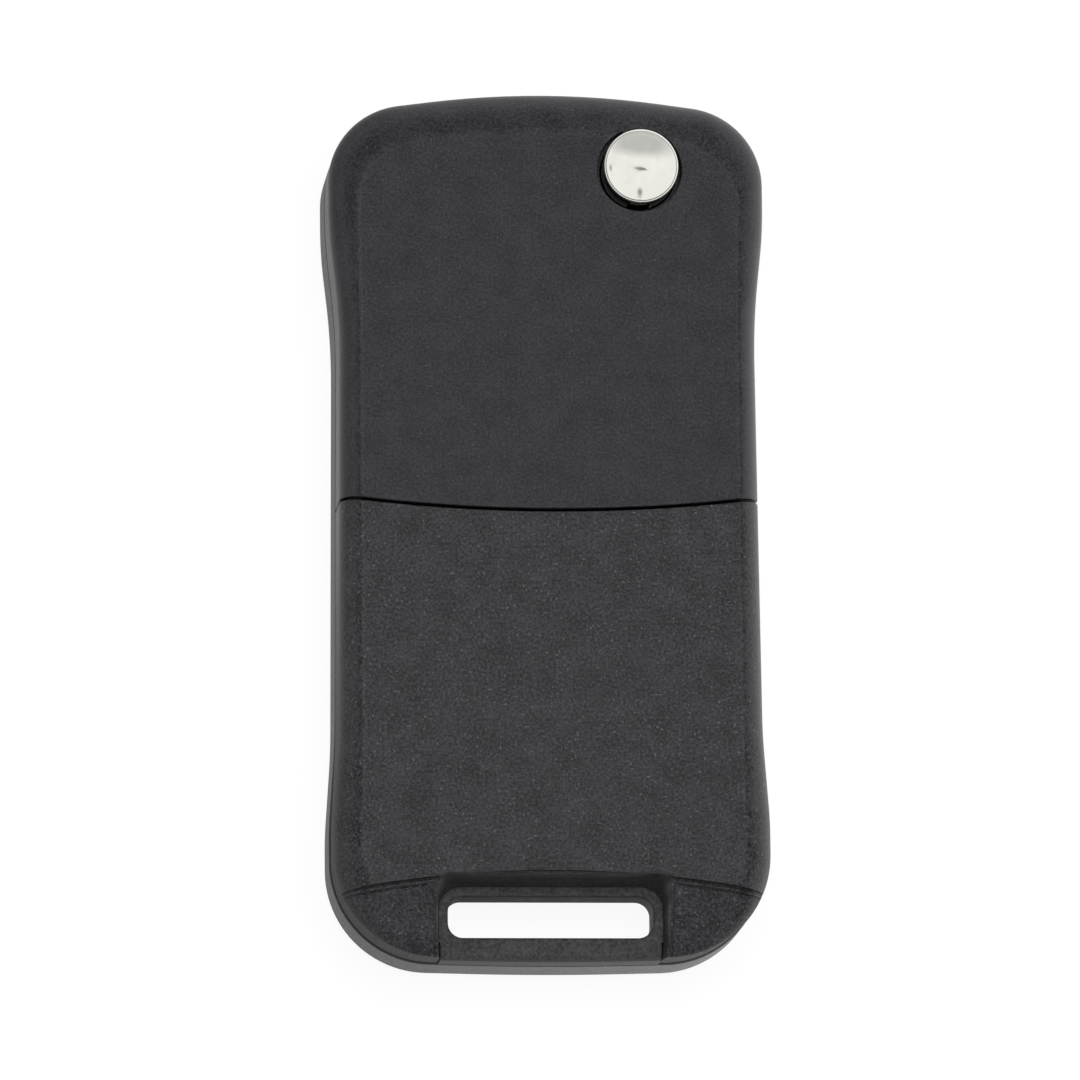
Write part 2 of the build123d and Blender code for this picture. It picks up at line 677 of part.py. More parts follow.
def track_face():
    """Plan of the wavy track that is milled into both sides of the blade."""
    left = track_edge(-BLADE_TRACK_WIDTH / 2)
    right = track_edge(BLADE_TRACK_WIDTH / 2)
    return make_face([Spline(*left), Line(left[-1], right[-1]), Spline(*right), Line(right[0], left[0])])


def build_key_blade():
    """Flat blade with a two-sided point and a milled track on each side."""
    root = BLADE_ROOT + PIN_FIT
    nose = BLADE_TIP / 3
    corners = [
        arm_point(root, ARM_INNER),
        arm_point(root, ARM_OUTER),
        arm_point(BLADE_REACH - BLADE_TIP, ARM_OUTER),
        arm_point(BLADE_REACH, BLADE_OFFSET + nose),
        arm_point(BLADE_REACH, BLADE_OFFSET - nose),
        arm_point(BLADE_REACH - BLADE_TIP, ARM_INNER),
    ]
    blade = slab(rounded_face(corners, [0, 0, 0, 0, 0, 0]), BLADE_Z, BLADE_THICKNESS)
    track = track_face()
    blade -= slab(track, BLADE_Z - BLADE_TRACK_DEPTH, 2 * BLADE_TRACK_DEPTH)
    blade -= slab(track, BLADE_Z + BLADE_THICKNESS - BLADE_TRACK_DEPTH, 2 * BLADE_TRACK_DEPTH)
    return blade - pin_rod(0, FAR, PIN_RADIUS + PIN_FIT)


def build_release_button():
    """Domed cap on a hollow barrel, with two lugs that turn with the hub."""
    edge = SPRING_WIRE / 2
    outline = [
        ThreePointArc((0, CAP_EDGE_Z + CAP_DOME), dome_point(0.5), dome_point(1)),
        Polyline(
            dome_point(1),
            (CAP_RADIUS, CAP_EDGE_Z - edge),
            (CAP_RADIUS, CAP_BOTTOM_Z),
            (CAP_BORE_RADIUS, CAP_BOTTOM_Z),
            (CAP_BORE_RADIUS, CAP_CEILING_Z),
            (0, CAP_CEILING_Z),
            (0, CAP_EDGE_Z + CAP_DOME),
        ),
    ]
    barrel = Pos(PIVOT_X, PIVOT_Y) * revolve(make_face([Plane.XZ * line for line in outline]), Axis.Z)
    half = LUG_WIDTH / 2
    lugs = block(PIVOT_X - half, PIVOT_X + half, PIVOT_Y - FAR, PIVOT_Y + FAR, LUG_Z, LUG_Z + LUG_HEIGHT)
    lugs &= rod(PIVOT_X, PIVOT_Y, 0, LUG_REACH, FAR)
    return barrel + (lugs - rod(PIVOT_X, PIVOT_Y, 0, CAP_BORE_RADIUS, FAR))


def dome_point(share):
    """Point of the cap's dome at a share of the way out to its edge."""
    reach = CAP_RADIUS - SPRING_WIRE / 2
    radius = (reach**2 + CAP_DOME**2) / (2 * CAP_DOME)
    out = reach * share
    return (out, CAP_EDGE_Z + CAP_DOME - radius + math.sqrt(radius**2 - out**2))


def build_flip_spring():
    """Spring of square wire between the hub's floor and the cap."""
    bottom = HUB_FLOOR_Z + SPRING_WIRE / 2 + PIN_FIT
    height = CAP_CEILING_Z - HUB_FLOOR_Z - SPRING_WIRE - 2 * PIN_FIT
    path = Pos(PIVOT_X, PIVOT_Y, bottom) * Helix(height / SPRING_TURNS, height, SPRING_RADIUS)
    start = Plane(origin=path @ 0, z_dir=path % 0)
    return sweep(start * Rectangle(SPRING_WIRE, SPRING_WIRE), path=path, is_frenet=True)


def build_thrust_washer():
    """Washer under the hub's foot."""
    washer = rod(PIVOT_X, PIVOT_Y, WALL, HUB_FOOT_RADIUS - JOURNAL_FIT, WASHER_THICKNESS)
    return washer - rod(PIVOT_X, PIVOT_Y, 0, WASHER_BORE_RADIUS, FAR)


# Buttons, domes and sheet


def button_outline(index, grow):
    """Plan of a button's cap, grown all round."""
    corner = BUTTON_CORNER + grow
    return rounded_rectangle(0, button_y(index), BUTTON_LENGTH + 2 * grow, BUTTON_WIDTH + 2 * grow, corner)


def build_button(index):
    """Button cap with a flange behind the window and a pusher in its hollow."""
    flange_z = WALL + FLANGE_GAP
    back_z = flange_z + FLANGE_HEIGHT
    cap = slab(button_outline(index, 0), BUTTON_RECESS, back_z - BUTTON_RECESS)
    cap = chamfer(cap.edges().group_by(Axis.Z)[0], BUTTON_EDGE)
    half_x = BUTTON_LENGTH / 2 + FLANGE_REACH
    half_y = BUTTON_WIDTH / 2 + FLANGE_REACH
    cap += block(-half_x, half_x, button_y(index) - half_y, button_y(index) + half_y, flange_z, back_z)
    floor_z = BUTTON_RECESS + BUTTON_SKIN
    half_x = BUTTON_LENGTH / 2 - BUTTON_CORNER / 2
    half_y = BUTTON_WIDTH / 2 - BUTTON_CORNER / 2
    cap -= block(-half_x, half_x, button_y(index) - half_y, button_y(index) + half_y, floor_z, FAR)
    return cap + post(0, button_y(index), floor_z, PUSHER_Z, PUSHER_WIDTH)


def build_dome(index):
    """Silicone dome between a button's pusher and the board."""
    points = [(0, PUSHER_Z), (DOME_TOP_RADIUS, PUSHER_Z), (DOME_BASE_RADIUS, BOARD_Z), (0, BOARD_Z)]
    return lathe(points, 0, button_y(index))


def build_keypad_sheet():
    """Silicone sheet round the domes, flat on the board."""
    top = button_y(0) + SHEET_MARGIN
    bottom = button_y(len(BUTTON_NAMES) - 1) - SHEET_MARGIN
    sheet = block(-SHEET_HALF, SHEET_HALF, bottom, top, BOARD_Z - SHEET_THICKNESS, BOARD_Z)
    for index in range(len(BUTTON_NAMES)):
        sheet -= post(0, button_y(index), 0, FAR, 2 * (DOME_BASE_RADIUS + SHEET_GAP))
    return sheet


# Electronics


def build_circuit_board():
    """Board beside the blade liner, stepped round the hub."""
    points = [
        (BOARD_LEFT_X, BOARD_BOTTOM_Y),
        (BOARD_RIGHT_X, BOARD_BOTTOM_Y),
        (BOARD_RIGHT_X, BOARD_STEP_Y),
        (BOARD_TOP_RIGHT_X, BOARD_STEP_Y),
        (BOARD_TOP_RIGHT_X, BOARD_TOP_Y),
        (BOARD_LEFT_X, BOARD_TOP_Y),
    ]
    return slab(make_face(Polyline(*points, close=True)), BOARD_Z, BOARD_THICKNESS)


def build_board_block(x, drop, length, width, height):
    """Component standing on the board's back, placed from the top end of the case."""
    y = CASE_HALF - drop
    half_x = length / 2
    half_y = width / 2
    return block(x - half_x, x + half_x, y - half_y, y + half_y, BOARD_TOP_Z, BOARD_TOP_Z + height)


def build_antenna_loop():
    """Open loop of strip on the board."""
    strip = ANTENNA_STRIP
    loop = build_board_block(ANTENNA_X, ANTENNA_DROP, ANTENNA_LENGTH, ANTENNA_WIDTH, ANTENNA_HEIGHT)
    length = ANTENNA_LENGTH - 2 * strip
    width = ANTENNA_WIDTH - 2 * strip
    loop -= build_board_block(ANTENNA_X, ANTENNA_DROP, length, width, FAR)
    drop = ANTENNA_DROP + ANTENNA_WIDTH / 2
    return loop - build_board_block(ANTENNA_X, drop, ANTENNA_OPENING, 3 * strip, FAR)


def build_battery_holder():
    """Round tray that holds the cell above the board."""
    inner = CELL_RADIUS + HOLDER_GAP
    outer = inner + HOLDER_WALL
    tray = rod(CELL_X, CELL_Y, BOARD_TOP_Z, outer, HOLDER_TOP_Z - BOARD_TOP_Z)
    tray -= rod(CELL_X, CELL_Y, HOLDER_FLOOR_Z, inner, FAR)
    tray -= rod(CELL_X, CELL_Y, 0, HOLDER_WINDOW_RADIUS, FAR)
    finger = block(0, FAR, -CELL_RADIUS / 2, CELL_RADIUS / 2, CELL_Z, FAR)
    return tray - Pos(CELL_X, CELL_Y, 0) * Rot(0, 0, FINGER_ANGLE) * finger


def build_coin_cell():
    """Coin cell, its narrower cap toward the board."""
    points = [
        (0, CELL_Z),
        (CELL_RADIUS - CELL_STEP, CELL_Z),
        (CELL_RADIUS - CELL_STEP, CELL_Z + CELL_CAP_HEIGHT),
        (CELL_RADIUS, CELL_Z + CELL_CAP_HEIGHT),
        (CELL_RADIUS, CELL_Z + CELL_HEIGHT),
        (0, CELL_Z + CELL_HEIGHT),
    ]
    return lathe(points, CELL_X, CELL_Y)


def build_contact_negative():
    """Leaf that rises from the board to the middle of the cell."""
    reach = HOLDER_WINDOW_RADIUS - CONTACT_MARGIN
    top = CELL_Z - CONTACT_THICKNESS
    points = [
        (CELL_X + reach, BOARD_TOP_Z),
        (CELL_X + reach / 2, BOARD_TOP_Z),
        (CELL_X - reach / 2, top),
        (CELL_X - reach, top),
    ]
    return Pos(0, CELL_Y, 0) * leaf(points, CONTACT_THICKNESS, CONTACT_WIDTH, Plane.XZ)


def build_contact_positive():
    """Clip that rises beside the holder and lies on the cell."""
    wall_y = CELL_Y + CELL_RADIUS + HOLDER_GAP + HOLDER_WALL + HOLDER_GAP
    top = CELL_Z + CELL_HEIGHT
    outer_y = wall_y + CONTACT_THICKNESS
    foot_y = outer_y + CONTACT_FOOT
    tongue_y = wall_y - CELL_RADIUS / 2
    points = [
        (tongue_y, top),
        (wall_y, top),
        (wall_y, BOARD_TOP_Z),
        (foot_y, BOARD_TOP_Z),
        (foot_y, BOARD_TOP_Z + CONTACT_THICKNESS),
        (outer_y, BOARD_TOP_Z + CONTACT_THICKNESS),
        (outer_y, top + CONTACT_THICKNESS),
        (tongue_y, top + CONTACT_THICKNESS),
    ]
    face = make_face(Plane.YZ * Polyline(*points, close=True))
    return Pos(CELL_X, 0, 0) * extrude(face, amount=CONTACT_WIDTH / 2, both=True)


def build_status_led():
    """Lamp under the board's front face."""
    half_x = LAMP_LENGTH / 2
    half_y = LAMP_WIDTH / 2
    bottom = BOARD_Z - LAMP_HEIGHT
    return block(LAMP_X - half_x, LAMP_X + half_x, LAMP_Y - half_y, LAMP_Y + half_y, bottom, BOARD_Z)


def build_light_pipe():
    """Clear guide from the lamp to the button face."""
    top = BOARD_Z - LAMP_HEIGHT - SHEET_GAP
    guide = rod(LAMP_X, LAMP_Y, BUTTON_RECESS, LAMP_RADIUS, top - BUTTON_RECESS)
    return guide + post(LAMP_X, LAMP_Y, WALL, top, 2 * LAMP_RADIUS + FLANGE_REACH)


PARTS["front_shell"] = build_front_shell()
PARTS["back_shell"] = build_back_shell()
PARTS["battery_cover"] = build_battery_cover()
PARTS["ring_insert"] = build_ring_insert()
PARTS["insert_screws"] = build_insert_screws()
PARTS["blade_liner"] = build_blade_liner()
PARTS["flip_hub"] = build_flip_hub()
PARTS["key_blade"] = build_key_blade()
PARTS["blade_pin"] = build_blade_pin()
PARTS["release_button"] = build_release_button()
PARTS["flip_spring"] = build_flip_spring()
PARTS["thrust_washer"] = build_thrust_washer()
for number, name in enumerate(BUTTON_NAMES):
    PARTS[f"{name}_button"] = build_button(number)
    PARTS[f"{name}_dome"] = build_dome(number)
PARTS["keypad_sheet"] = build_keypad_sheet()
PARTS["circuit_board"] = build_circuit_board()
for name, sizes in BOARD_BLOCKS.items():
    PARTS[name] = build_board_block(*sizes)
PARTS["antenna_loop"] = build_antenna_loop()
PARTS["status_led"] = build_status_led()
PARTS["light_pipe"] = build_light_pipe()
PARTS["battery_holder"] = build_battery_holder()
PARTS["contact_positive"] = build_contact_positive()
PARTS["contact_negative"] = build_contact_negative()
PARTS["coin_cell"] = build_coin_cell()

os.makedirs("parts", exist_ok=True)
for name, shape in PARTS.items():
    export_step(shape, f"parts/{name}.step")
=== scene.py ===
import json
import logging
import math
from contextlib import contextmanager
from dataclasses import dataclass, fields
from enum import Enum
from typing import Callable, Iterator

import bmesh
import bpy
import numpy as np
from mathutils import Matrix, Vector

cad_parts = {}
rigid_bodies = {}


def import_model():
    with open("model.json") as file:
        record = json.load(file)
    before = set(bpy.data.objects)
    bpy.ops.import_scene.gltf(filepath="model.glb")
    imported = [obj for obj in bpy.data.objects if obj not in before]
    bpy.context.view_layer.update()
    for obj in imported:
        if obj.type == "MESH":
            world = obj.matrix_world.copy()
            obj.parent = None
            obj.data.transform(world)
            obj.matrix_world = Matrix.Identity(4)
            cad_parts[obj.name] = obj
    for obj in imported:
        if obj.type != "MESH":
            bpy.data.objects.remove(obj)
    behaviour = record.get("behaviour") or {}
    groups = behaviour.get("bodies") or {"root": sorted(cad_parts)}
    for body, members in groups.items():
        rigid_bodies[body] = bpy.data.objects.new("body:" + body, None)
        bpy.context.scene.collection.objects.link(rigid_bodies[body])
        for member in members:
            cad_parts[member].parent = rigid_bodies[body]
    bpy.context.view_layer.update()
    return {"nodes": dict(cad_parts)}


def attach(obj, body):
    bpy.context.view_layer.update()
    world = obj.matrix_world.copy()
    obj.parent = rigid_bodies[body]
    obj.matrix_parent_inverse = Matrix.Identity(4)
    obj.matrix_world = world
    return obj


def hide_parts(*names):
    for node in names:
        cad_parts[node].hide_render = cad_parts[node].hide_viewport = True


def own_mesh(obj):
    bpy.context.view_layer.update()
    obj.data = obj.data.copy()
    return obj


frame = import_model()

MM = 0.001
FAR = 60.0  # mm, clear of the case on every side
OVER = 0.6  # mm, how far a thin tool goes on past the surface that it cuts
POLE = 0.01  # mm, radius at which a turned piece is closed at its axis
MERGE = 0.002  # mm, distance within which points are made one
LOG = logging.getLogger("remote_key")

Colour = Place = tuple[float, float, float]  # a place is x, y, z
Spot = Range = Sides = tuple[float, float]  # a spot is x, y in plan, a range its low and high end
Socket = bpy.types.NodeSocket
Feed = Socket | float | tuple[float, ...]


# Meshes


@contextmanager
def opened(mesh: bpy.types.Mesh) -> Iterator[bmesh.types.BMesh]:
    """Open a mesh for bmesh's tools and write it back afterwards.

    Args:
        mesh: The mesh.

    Yields:
        Its editable form.
    """
    shell = bmesh.new()
    shell.from_mesh(mesh)
    yield shell
    shell.to_mesh(mesh)
    shell.free()


def read_points(mesh: bpy.types.Mesh) -> np.ndarray:
    """Read the points of a mesh.

    Args:
        mesh: The mesh.

    Returns:
        Points in metres of shape (points, 3).
    """
    points = np.empty(len(mesh.vertices) * 3)
    mesh.vertices.foreach_get("co", points)
    return points.reshape(-1, 3)


def unit_steps(path: np.ndarray) -> np.ndarray:
    """Return the direction along a path at each point: the central difference over its own length."""
    along = np.gradient(path, axis=0)
    return along / np.linalg.norm(along, axis=1, keepdims=True)


@dataclass
class Solid:
    """Surface: points in millimetres, and faces as rows of point numbers."""

    points: np.ndarray
    faces: list[list[int]]

    def beside(self, other: "Solid") -> "Solid":
        """Return this solid and another as one mesh, for pieces that don't touch."""
        faces = self.faces + [[number + len(self.points) for number in face] for face in other.faces]
        return Solid(np.concatenate([self.points, other.points]), faces)

    def as_object(self, name: str) -> bpy.types.Object:
        """Make the surface a new object at the origin, in metres, its faces turned outwards.

        Args:
            name: Name of the object.

        Returns:
            The object.
        """
        mesh = bpy.data.meshes.new(name)
        mesh.from_pydata((self.points * MM).tolist(), [], self.faces)
        with opened(mesh) as shell:
            bmesh.ops.recalc_face_normals(shell, faces=shell.faces)
        thing = bpy.data.objects.new(name, mesh)
        bpy.context.scene.collection.objects.link(thing)
        return thing


def stack(rings: np.ndarray, closed: bool = False) -> Solid:
    """Join rings of equal count by quads, each ring to the next.

    Args:
        rings: Points of shape (rings, points, 3).
        closed: True joins the last ring to the first, False closes both ends with a flat face.

    Returns:
        The closed surface.
    """
    count, size = rings.shape[:2]
    here = np.arange(size)
    after = np.roll(here, -1)
    level = np.arange(count if closed else count - 1)[:, None] * size
    above = (level + size) % (count * size)
    quads = np.stack([level + here, level + after, above + after, above + here], axis=-1)
    faces = quads.reshape(-1, 4).tolist()
    if not closed:
        faces += [here[::-1].tolist(), (here + (count - 1) * size).tolist()]
    return Solid(rings.reshape(-1, 3), faces)


def rising(loops: list[np.ndarray], heights: list[float], closed: bool = False) -> Solid:
    """Stack plan loops of equal count at their heights, with flat ends or closed to a ring."""
    rings = [np.column_stack([loop, np.full(len(loop), height)]) for loop, height in zip(loops, heights)]
    return stack(np.array(rings), closed)


def prism(loop: np.ndarray, low: float, high: float) -> Solid:
    """Raise one plan loop between two heights."""
    return rising([loop, loop], [low, high])


def block(x: Range, y: Range, z: Range) -> Solid:
    """Box between two values along each axis."""
    loop = np.array([[x[0], y[0]], [x[1], y[0]], [x[1], y[1]], [x[0], y[1]]])
    return prism(loop, *z)


def lathe(profile: np.ndarray, centre: Spot, steps: int = 96, closed: bool = False) -> Solid:
    """Turn (radius, height) points about an upright axis.

    Each point becomes a circle: x = radius cos a, y = radius sin a at its own height.

    Args:
        profile: Points of shape (points, 2).
        centre: Plan place of the axis.
        steps: Points round each circle.
        closed: True where the profile is itself a closed loop.

    Returns:
        The turned surface.
    """
    angle = np.linspace(0, 2 * np.pi, steps, endpoint=False)
    x = centre[0] + profile[:, :1] * np.cos(angle)
    y = centre[1] + profile[:, :1] * np.sin(angle)
    z = np.broadcast_to(profile[:, 1:], x.shape)
    return stack(np.stack([x, y, z], axis=-1), closed)


def rod(radius: float, low: float, high: float, centre: Spot, steps: int = 96) -> Solid:
    """Return an upright round bar between two heights."""
    return lathe(np.array([[radius, low], [radius, high]]), centre, steps)


def cross(centre: Spot, reach: float, width: float, z: Range) -> tuple[Solid, Solid]:
    """Lay two bars across each other.

    Args:
        centre: Plan place where they meet.
        reach: How far each goes to both sides.
        width: Width of each.
        z: Their lower and upper height.

    Returns:
        The bars along X and along Y.
    """
    (x, y), half = centre, width / 2
    level = block((x - reach, x + reach), (y - half, y + half), z)
    return level, block((x - half, x + half), (y - reach, y + reach), z)


def carried(path: np.ndarray, across: np.ndarray, down: np.ndarray, section: np.ndarray) -> Solid:
    """Carry a closed section along a path.

    A section point (s, d) at path point p lies at p + s across + d down.

    Args:
        path: Points of shape (stations, 3).
        across: Direction of the section's first axis at each station.
        down: Direction of the section's second axis at each station.
        section: Points of shape (points, 2).

    Returns:
        The swept surface with flat ends.
    """
    rings = path[:, None] + across[:, None] * section[None, :, :1] + down[:, None] * section[None, :, 1:]
    return stack(rings)


def rounded_loop(corners: np.ndarray, steps: list[int]) -> np.ndarray:
    """Round the corners of a plan loop.

    At a corner with turn t and radius r the arc starts r tan(|t| / 2) before the corner, and its
    centre lies r to the side that the loop turns to.

    Args:
        corners: Rows of x, y and radius, anticlockwise.
        steps: Spans of each corner's arc.

    Returns:
        Plan points of shape (points, 2).
    """
    point, radius = corners[:, :2], corners[:, 2]
    inward = point - np.roll(point, 1, axis=0)
    inward = inward / np.linalg.norm(inward, axis=1, keepdims=True)
    outward = np.roll(inward, -1, axis=0)
    turn = np.arctan2(
        inward[:, 0] * outward[:, 1] - inward[:, 1] * outward[:, 0], (inward * outward).sum(axis=1)
    )
    start = point - inward * (radius * np.tan(np.abs(turn) / 2))[:, None]
    side = np.column_stack([-inward[:, 1], inward[:, 0]]) * np.sign(turn)[:, None]
    centre = start + side * radius[:, None]
    which = np.repeat(np.arange(len(point)), np.array(steps) + 1)
    share = np.concatenate([np.linspace(0, 1, count + 1) for count in steps])
    angle = turn[which] * share
    arm = (start - centre)[which]
    turned = np.column_stack([
        arm[:, 0] * np.cos(angle) - arm[:, 1] * np.sin(angle),
        arm[:, 0] * np.sin(angle) + arm[:, 1] * np.cos(angle),
    ])
    return centre[which] + turned


def rounded_rectangle(
    centre: Spot, length: float, width: float, corner: float, steps: int = 10
) -> np.ndarray:
    """Plan loop of a rectangle with round corners.

    Args:
        centre: Plan place of its middle.
        length: Side along X.
        width: Side along Y.
        corner: Radius of its corners.
        steps: Spans of each corner's arc.

    Returns:
        The loop.
    """
    sign = np.array([[-1, -1], [1, -1], [1, 1], [-1, 1]])
    points = np.array(centre) + sign * np.array([length, width]) / 2
    return rounded_loop(np.column_stack([points, np.full(4, corner)]), [steps] * 4)


def quarter(radius: float, steps: int) -> tuple[np.ndarray, np.ndarray]:
    """Quarter round: how far in, r (1 - sin a), and how high, r (1 - cos a), for a from 0 to 90 degrees."""
    angle = np.linspace(0, np.pi / 2, steps + 1)
    return radius * (1 - np.sin(angle)), radius * (1 - np.cos(angle))


class Cut(Enum):
    """How a tool acts on a solid."""

    AWAY = "DIFFERENCE"
    KEEP = "INTERSECT"
    JOIN = "UNION"


class Carving:
    """A solid that others are cut from, kept inside or joined to, in the order given."""

    def __init__(self, name: str, solid: Solid) -> None:
        """Start from a solid under the piece's name."""
        self.thing = solid.as_object(name)

    def work(self, action: Cut, *tools: "Solid | Carving") -> "Carving":
        """Let tools act on the solid, one after the other, and use them up.

        Args:
            action: Whether they are cut away, kept inside or joined.
            tools: The other solids.

        Returns:
            This carving.
        """
        for tool in tools:
            other = tool.thing if isinstance(tool, Carving) else tool.as_object("tool")
            change = self.thing.modifiers.new("carve", "BOOLEAN")
            change.operation = action.value
            change.solver = "MANIFOLD"
            change.object = other
            view = bpy.context.evaluated_depsgraph_get()
            shape = bpy.data.meshes.new_from_object(self.thing.evaluated_get(view))
            self.thing.modifiers.clear()
            old = self.thing.data
            self.thing.data = shape
            bpy.data.meshes.remove(old)
            spare = other.data
            bpy.data.objects.remove(other)
            bpy.data.meshes.remove(spare)
        return self

    def cut(self, *tools: "Solid | Carving") -> "Carving":
        """Cut tools away."""
        return self.work(Cut.AWAY, *tools)

    def keep(self, *tools: "Solid | Carving") -> "Carving":
        """Keep what lies inside tools."""
        return self.work(Cut.KEEP, *tools)

    def join(self, *tools: "Solid | Carving") -> "Carving":
        """Join tools on."""
        return self.work(Cut.JOIN, *tools)


def smooth(thing: bpy.types.Object, sharp: float = 32.0, split: float = 0.0) -> bpy.types.Object:
    """Merge doubles, shade smoothly up to an angle and weight the normals by face area.

    Args:
        thing: The piece.
        sharp: Angle in degrees past which an edge stays sharp.
        split: Area in square millimetres under which a face of five or more corners is split, so
            that it gives no needles when it is exported.

    Returns:
        The same piece.
    """
    with opened(thing.data) as shell:
        bmesh.ops.remove_doubles(shell, verts=shell.verts, dist=MERGE * MM)
        few = [face for face in shell.faces if len(face.verts) > 4 and face.calc_area() < split * MM**2]
        bmesh.ops.triangulate(shell, faces=few)
        ragged = sum(len(edge.link_faces) != 2 for edge in shell.edges)
        volume = shell.calc_volume(signed=True) / MM**3
        LOG.info("%s: %.1f mm3, %d open edges", thing.name, volume, ragged)
    mesh = thing.data
    mesh.polygons.foreach_set("use_smooth", np.ones(len(mesh.polygons), dtype=bool))
    mesh.set_sharp_from_angle(angle=math.radians(sharp))
    weight = thing.modifiers.new("even_normals", "WEIGHTED_NORMAL")
    weight.keep_sharp = True
    return thing


# Finishes

OCTAVE_SHARE = 0.6  # how much each finer octave of a noise adds
NOISE_SPAN = (0.3, 0.7)  # where most values of a noise lie
MATT_EDGE = 0.8  # mm, half of the height over which the matt part of a wall fades
MATT_RUN = 26.0  # mm, length over which it comes in along the case


class Graph:
    """A node tree whose nodes are added together with what feeds them."""

    def __init__(self, tree: bpy.types.NodeTree) -> None:
        """Take a tree to add to."""
        self.tree = tree

    def feed(self, node: bpy.types.Node, entry: str | int, value: Feed) -> None:
        """Give a node's input what feeds it.

        Args:
            node: The node.
            entry: Name or number of its input.
            value: An output that is linked to it, or a constant.
        """
        if isinstance(value, Socket):
            self.tree.links.new(value, node.inputs[entry])
        else:
            node.inputs[entry].default_value = value

    def add(self, kind: str, feeds: dict[str | int, Feed] | None = None, **settings: str) -> bpy.types.Node:
        """Add a node.

        Args:
            kind: Type of the node.
            feeds: What feeds each of its inputs, by the input's name or number.
            settings: Properties of the node.

        Returns:
            The node.
        """
        node = self.tree.nodes.new(kind)
        for name, value in settings.items():
            setattr(node, name, value)
        for entry, value in (feeds or {}).items():
            self.feed(node, entry, value)
        return node

    def span(self, source: Socket, old: Range, new: Range) -> Socket:
        """Carry a value from one range to another and hold it at the ends.

        Args:
            source: The value.
            old: Its range.
            new: The range that it is carried to.

        Returns:
            The carried value.
        """
        limits = dict(zip(("From Min", "From Max", "To Min", "To Max"), (*old, *new)))
        return self.add("ShaderNodeMapRange", {**limits, "Value": source}).outputs["Result"]

    def glow(self, kind: str, shown: Feed, lit: float) -> Socket:
        """Make a white light that shows at one strength and lights at another.

        Args:
            kind: Type of the light's nodes.
            shown: Strength for camera, glossy and transmission rays.
            lit: Strength for all other rays.

        Returns:
            The mixed shader.
        """
        path = self.add("ShaderNodeLightPath")
        share = path.outputs["Is Camera Ray"]
        for ray in ("Is Glossy Ray", "Is Transmission Ray"):
            either = {0: share, 1: path.outputs[ray]}
            share = self.add("ShaderNodeMath", either, operation="MAXIMUM").outputs[0]
        first, second = (
            self.add(kind, {"Color": (1, 1, 1, 1), "Strength": value}).outputs[0] for value in (lit, shown)
        )
        return self.add("ShaderNodeMixShader", {"Fac": share, 1: first, 2: second}).outputs[0]


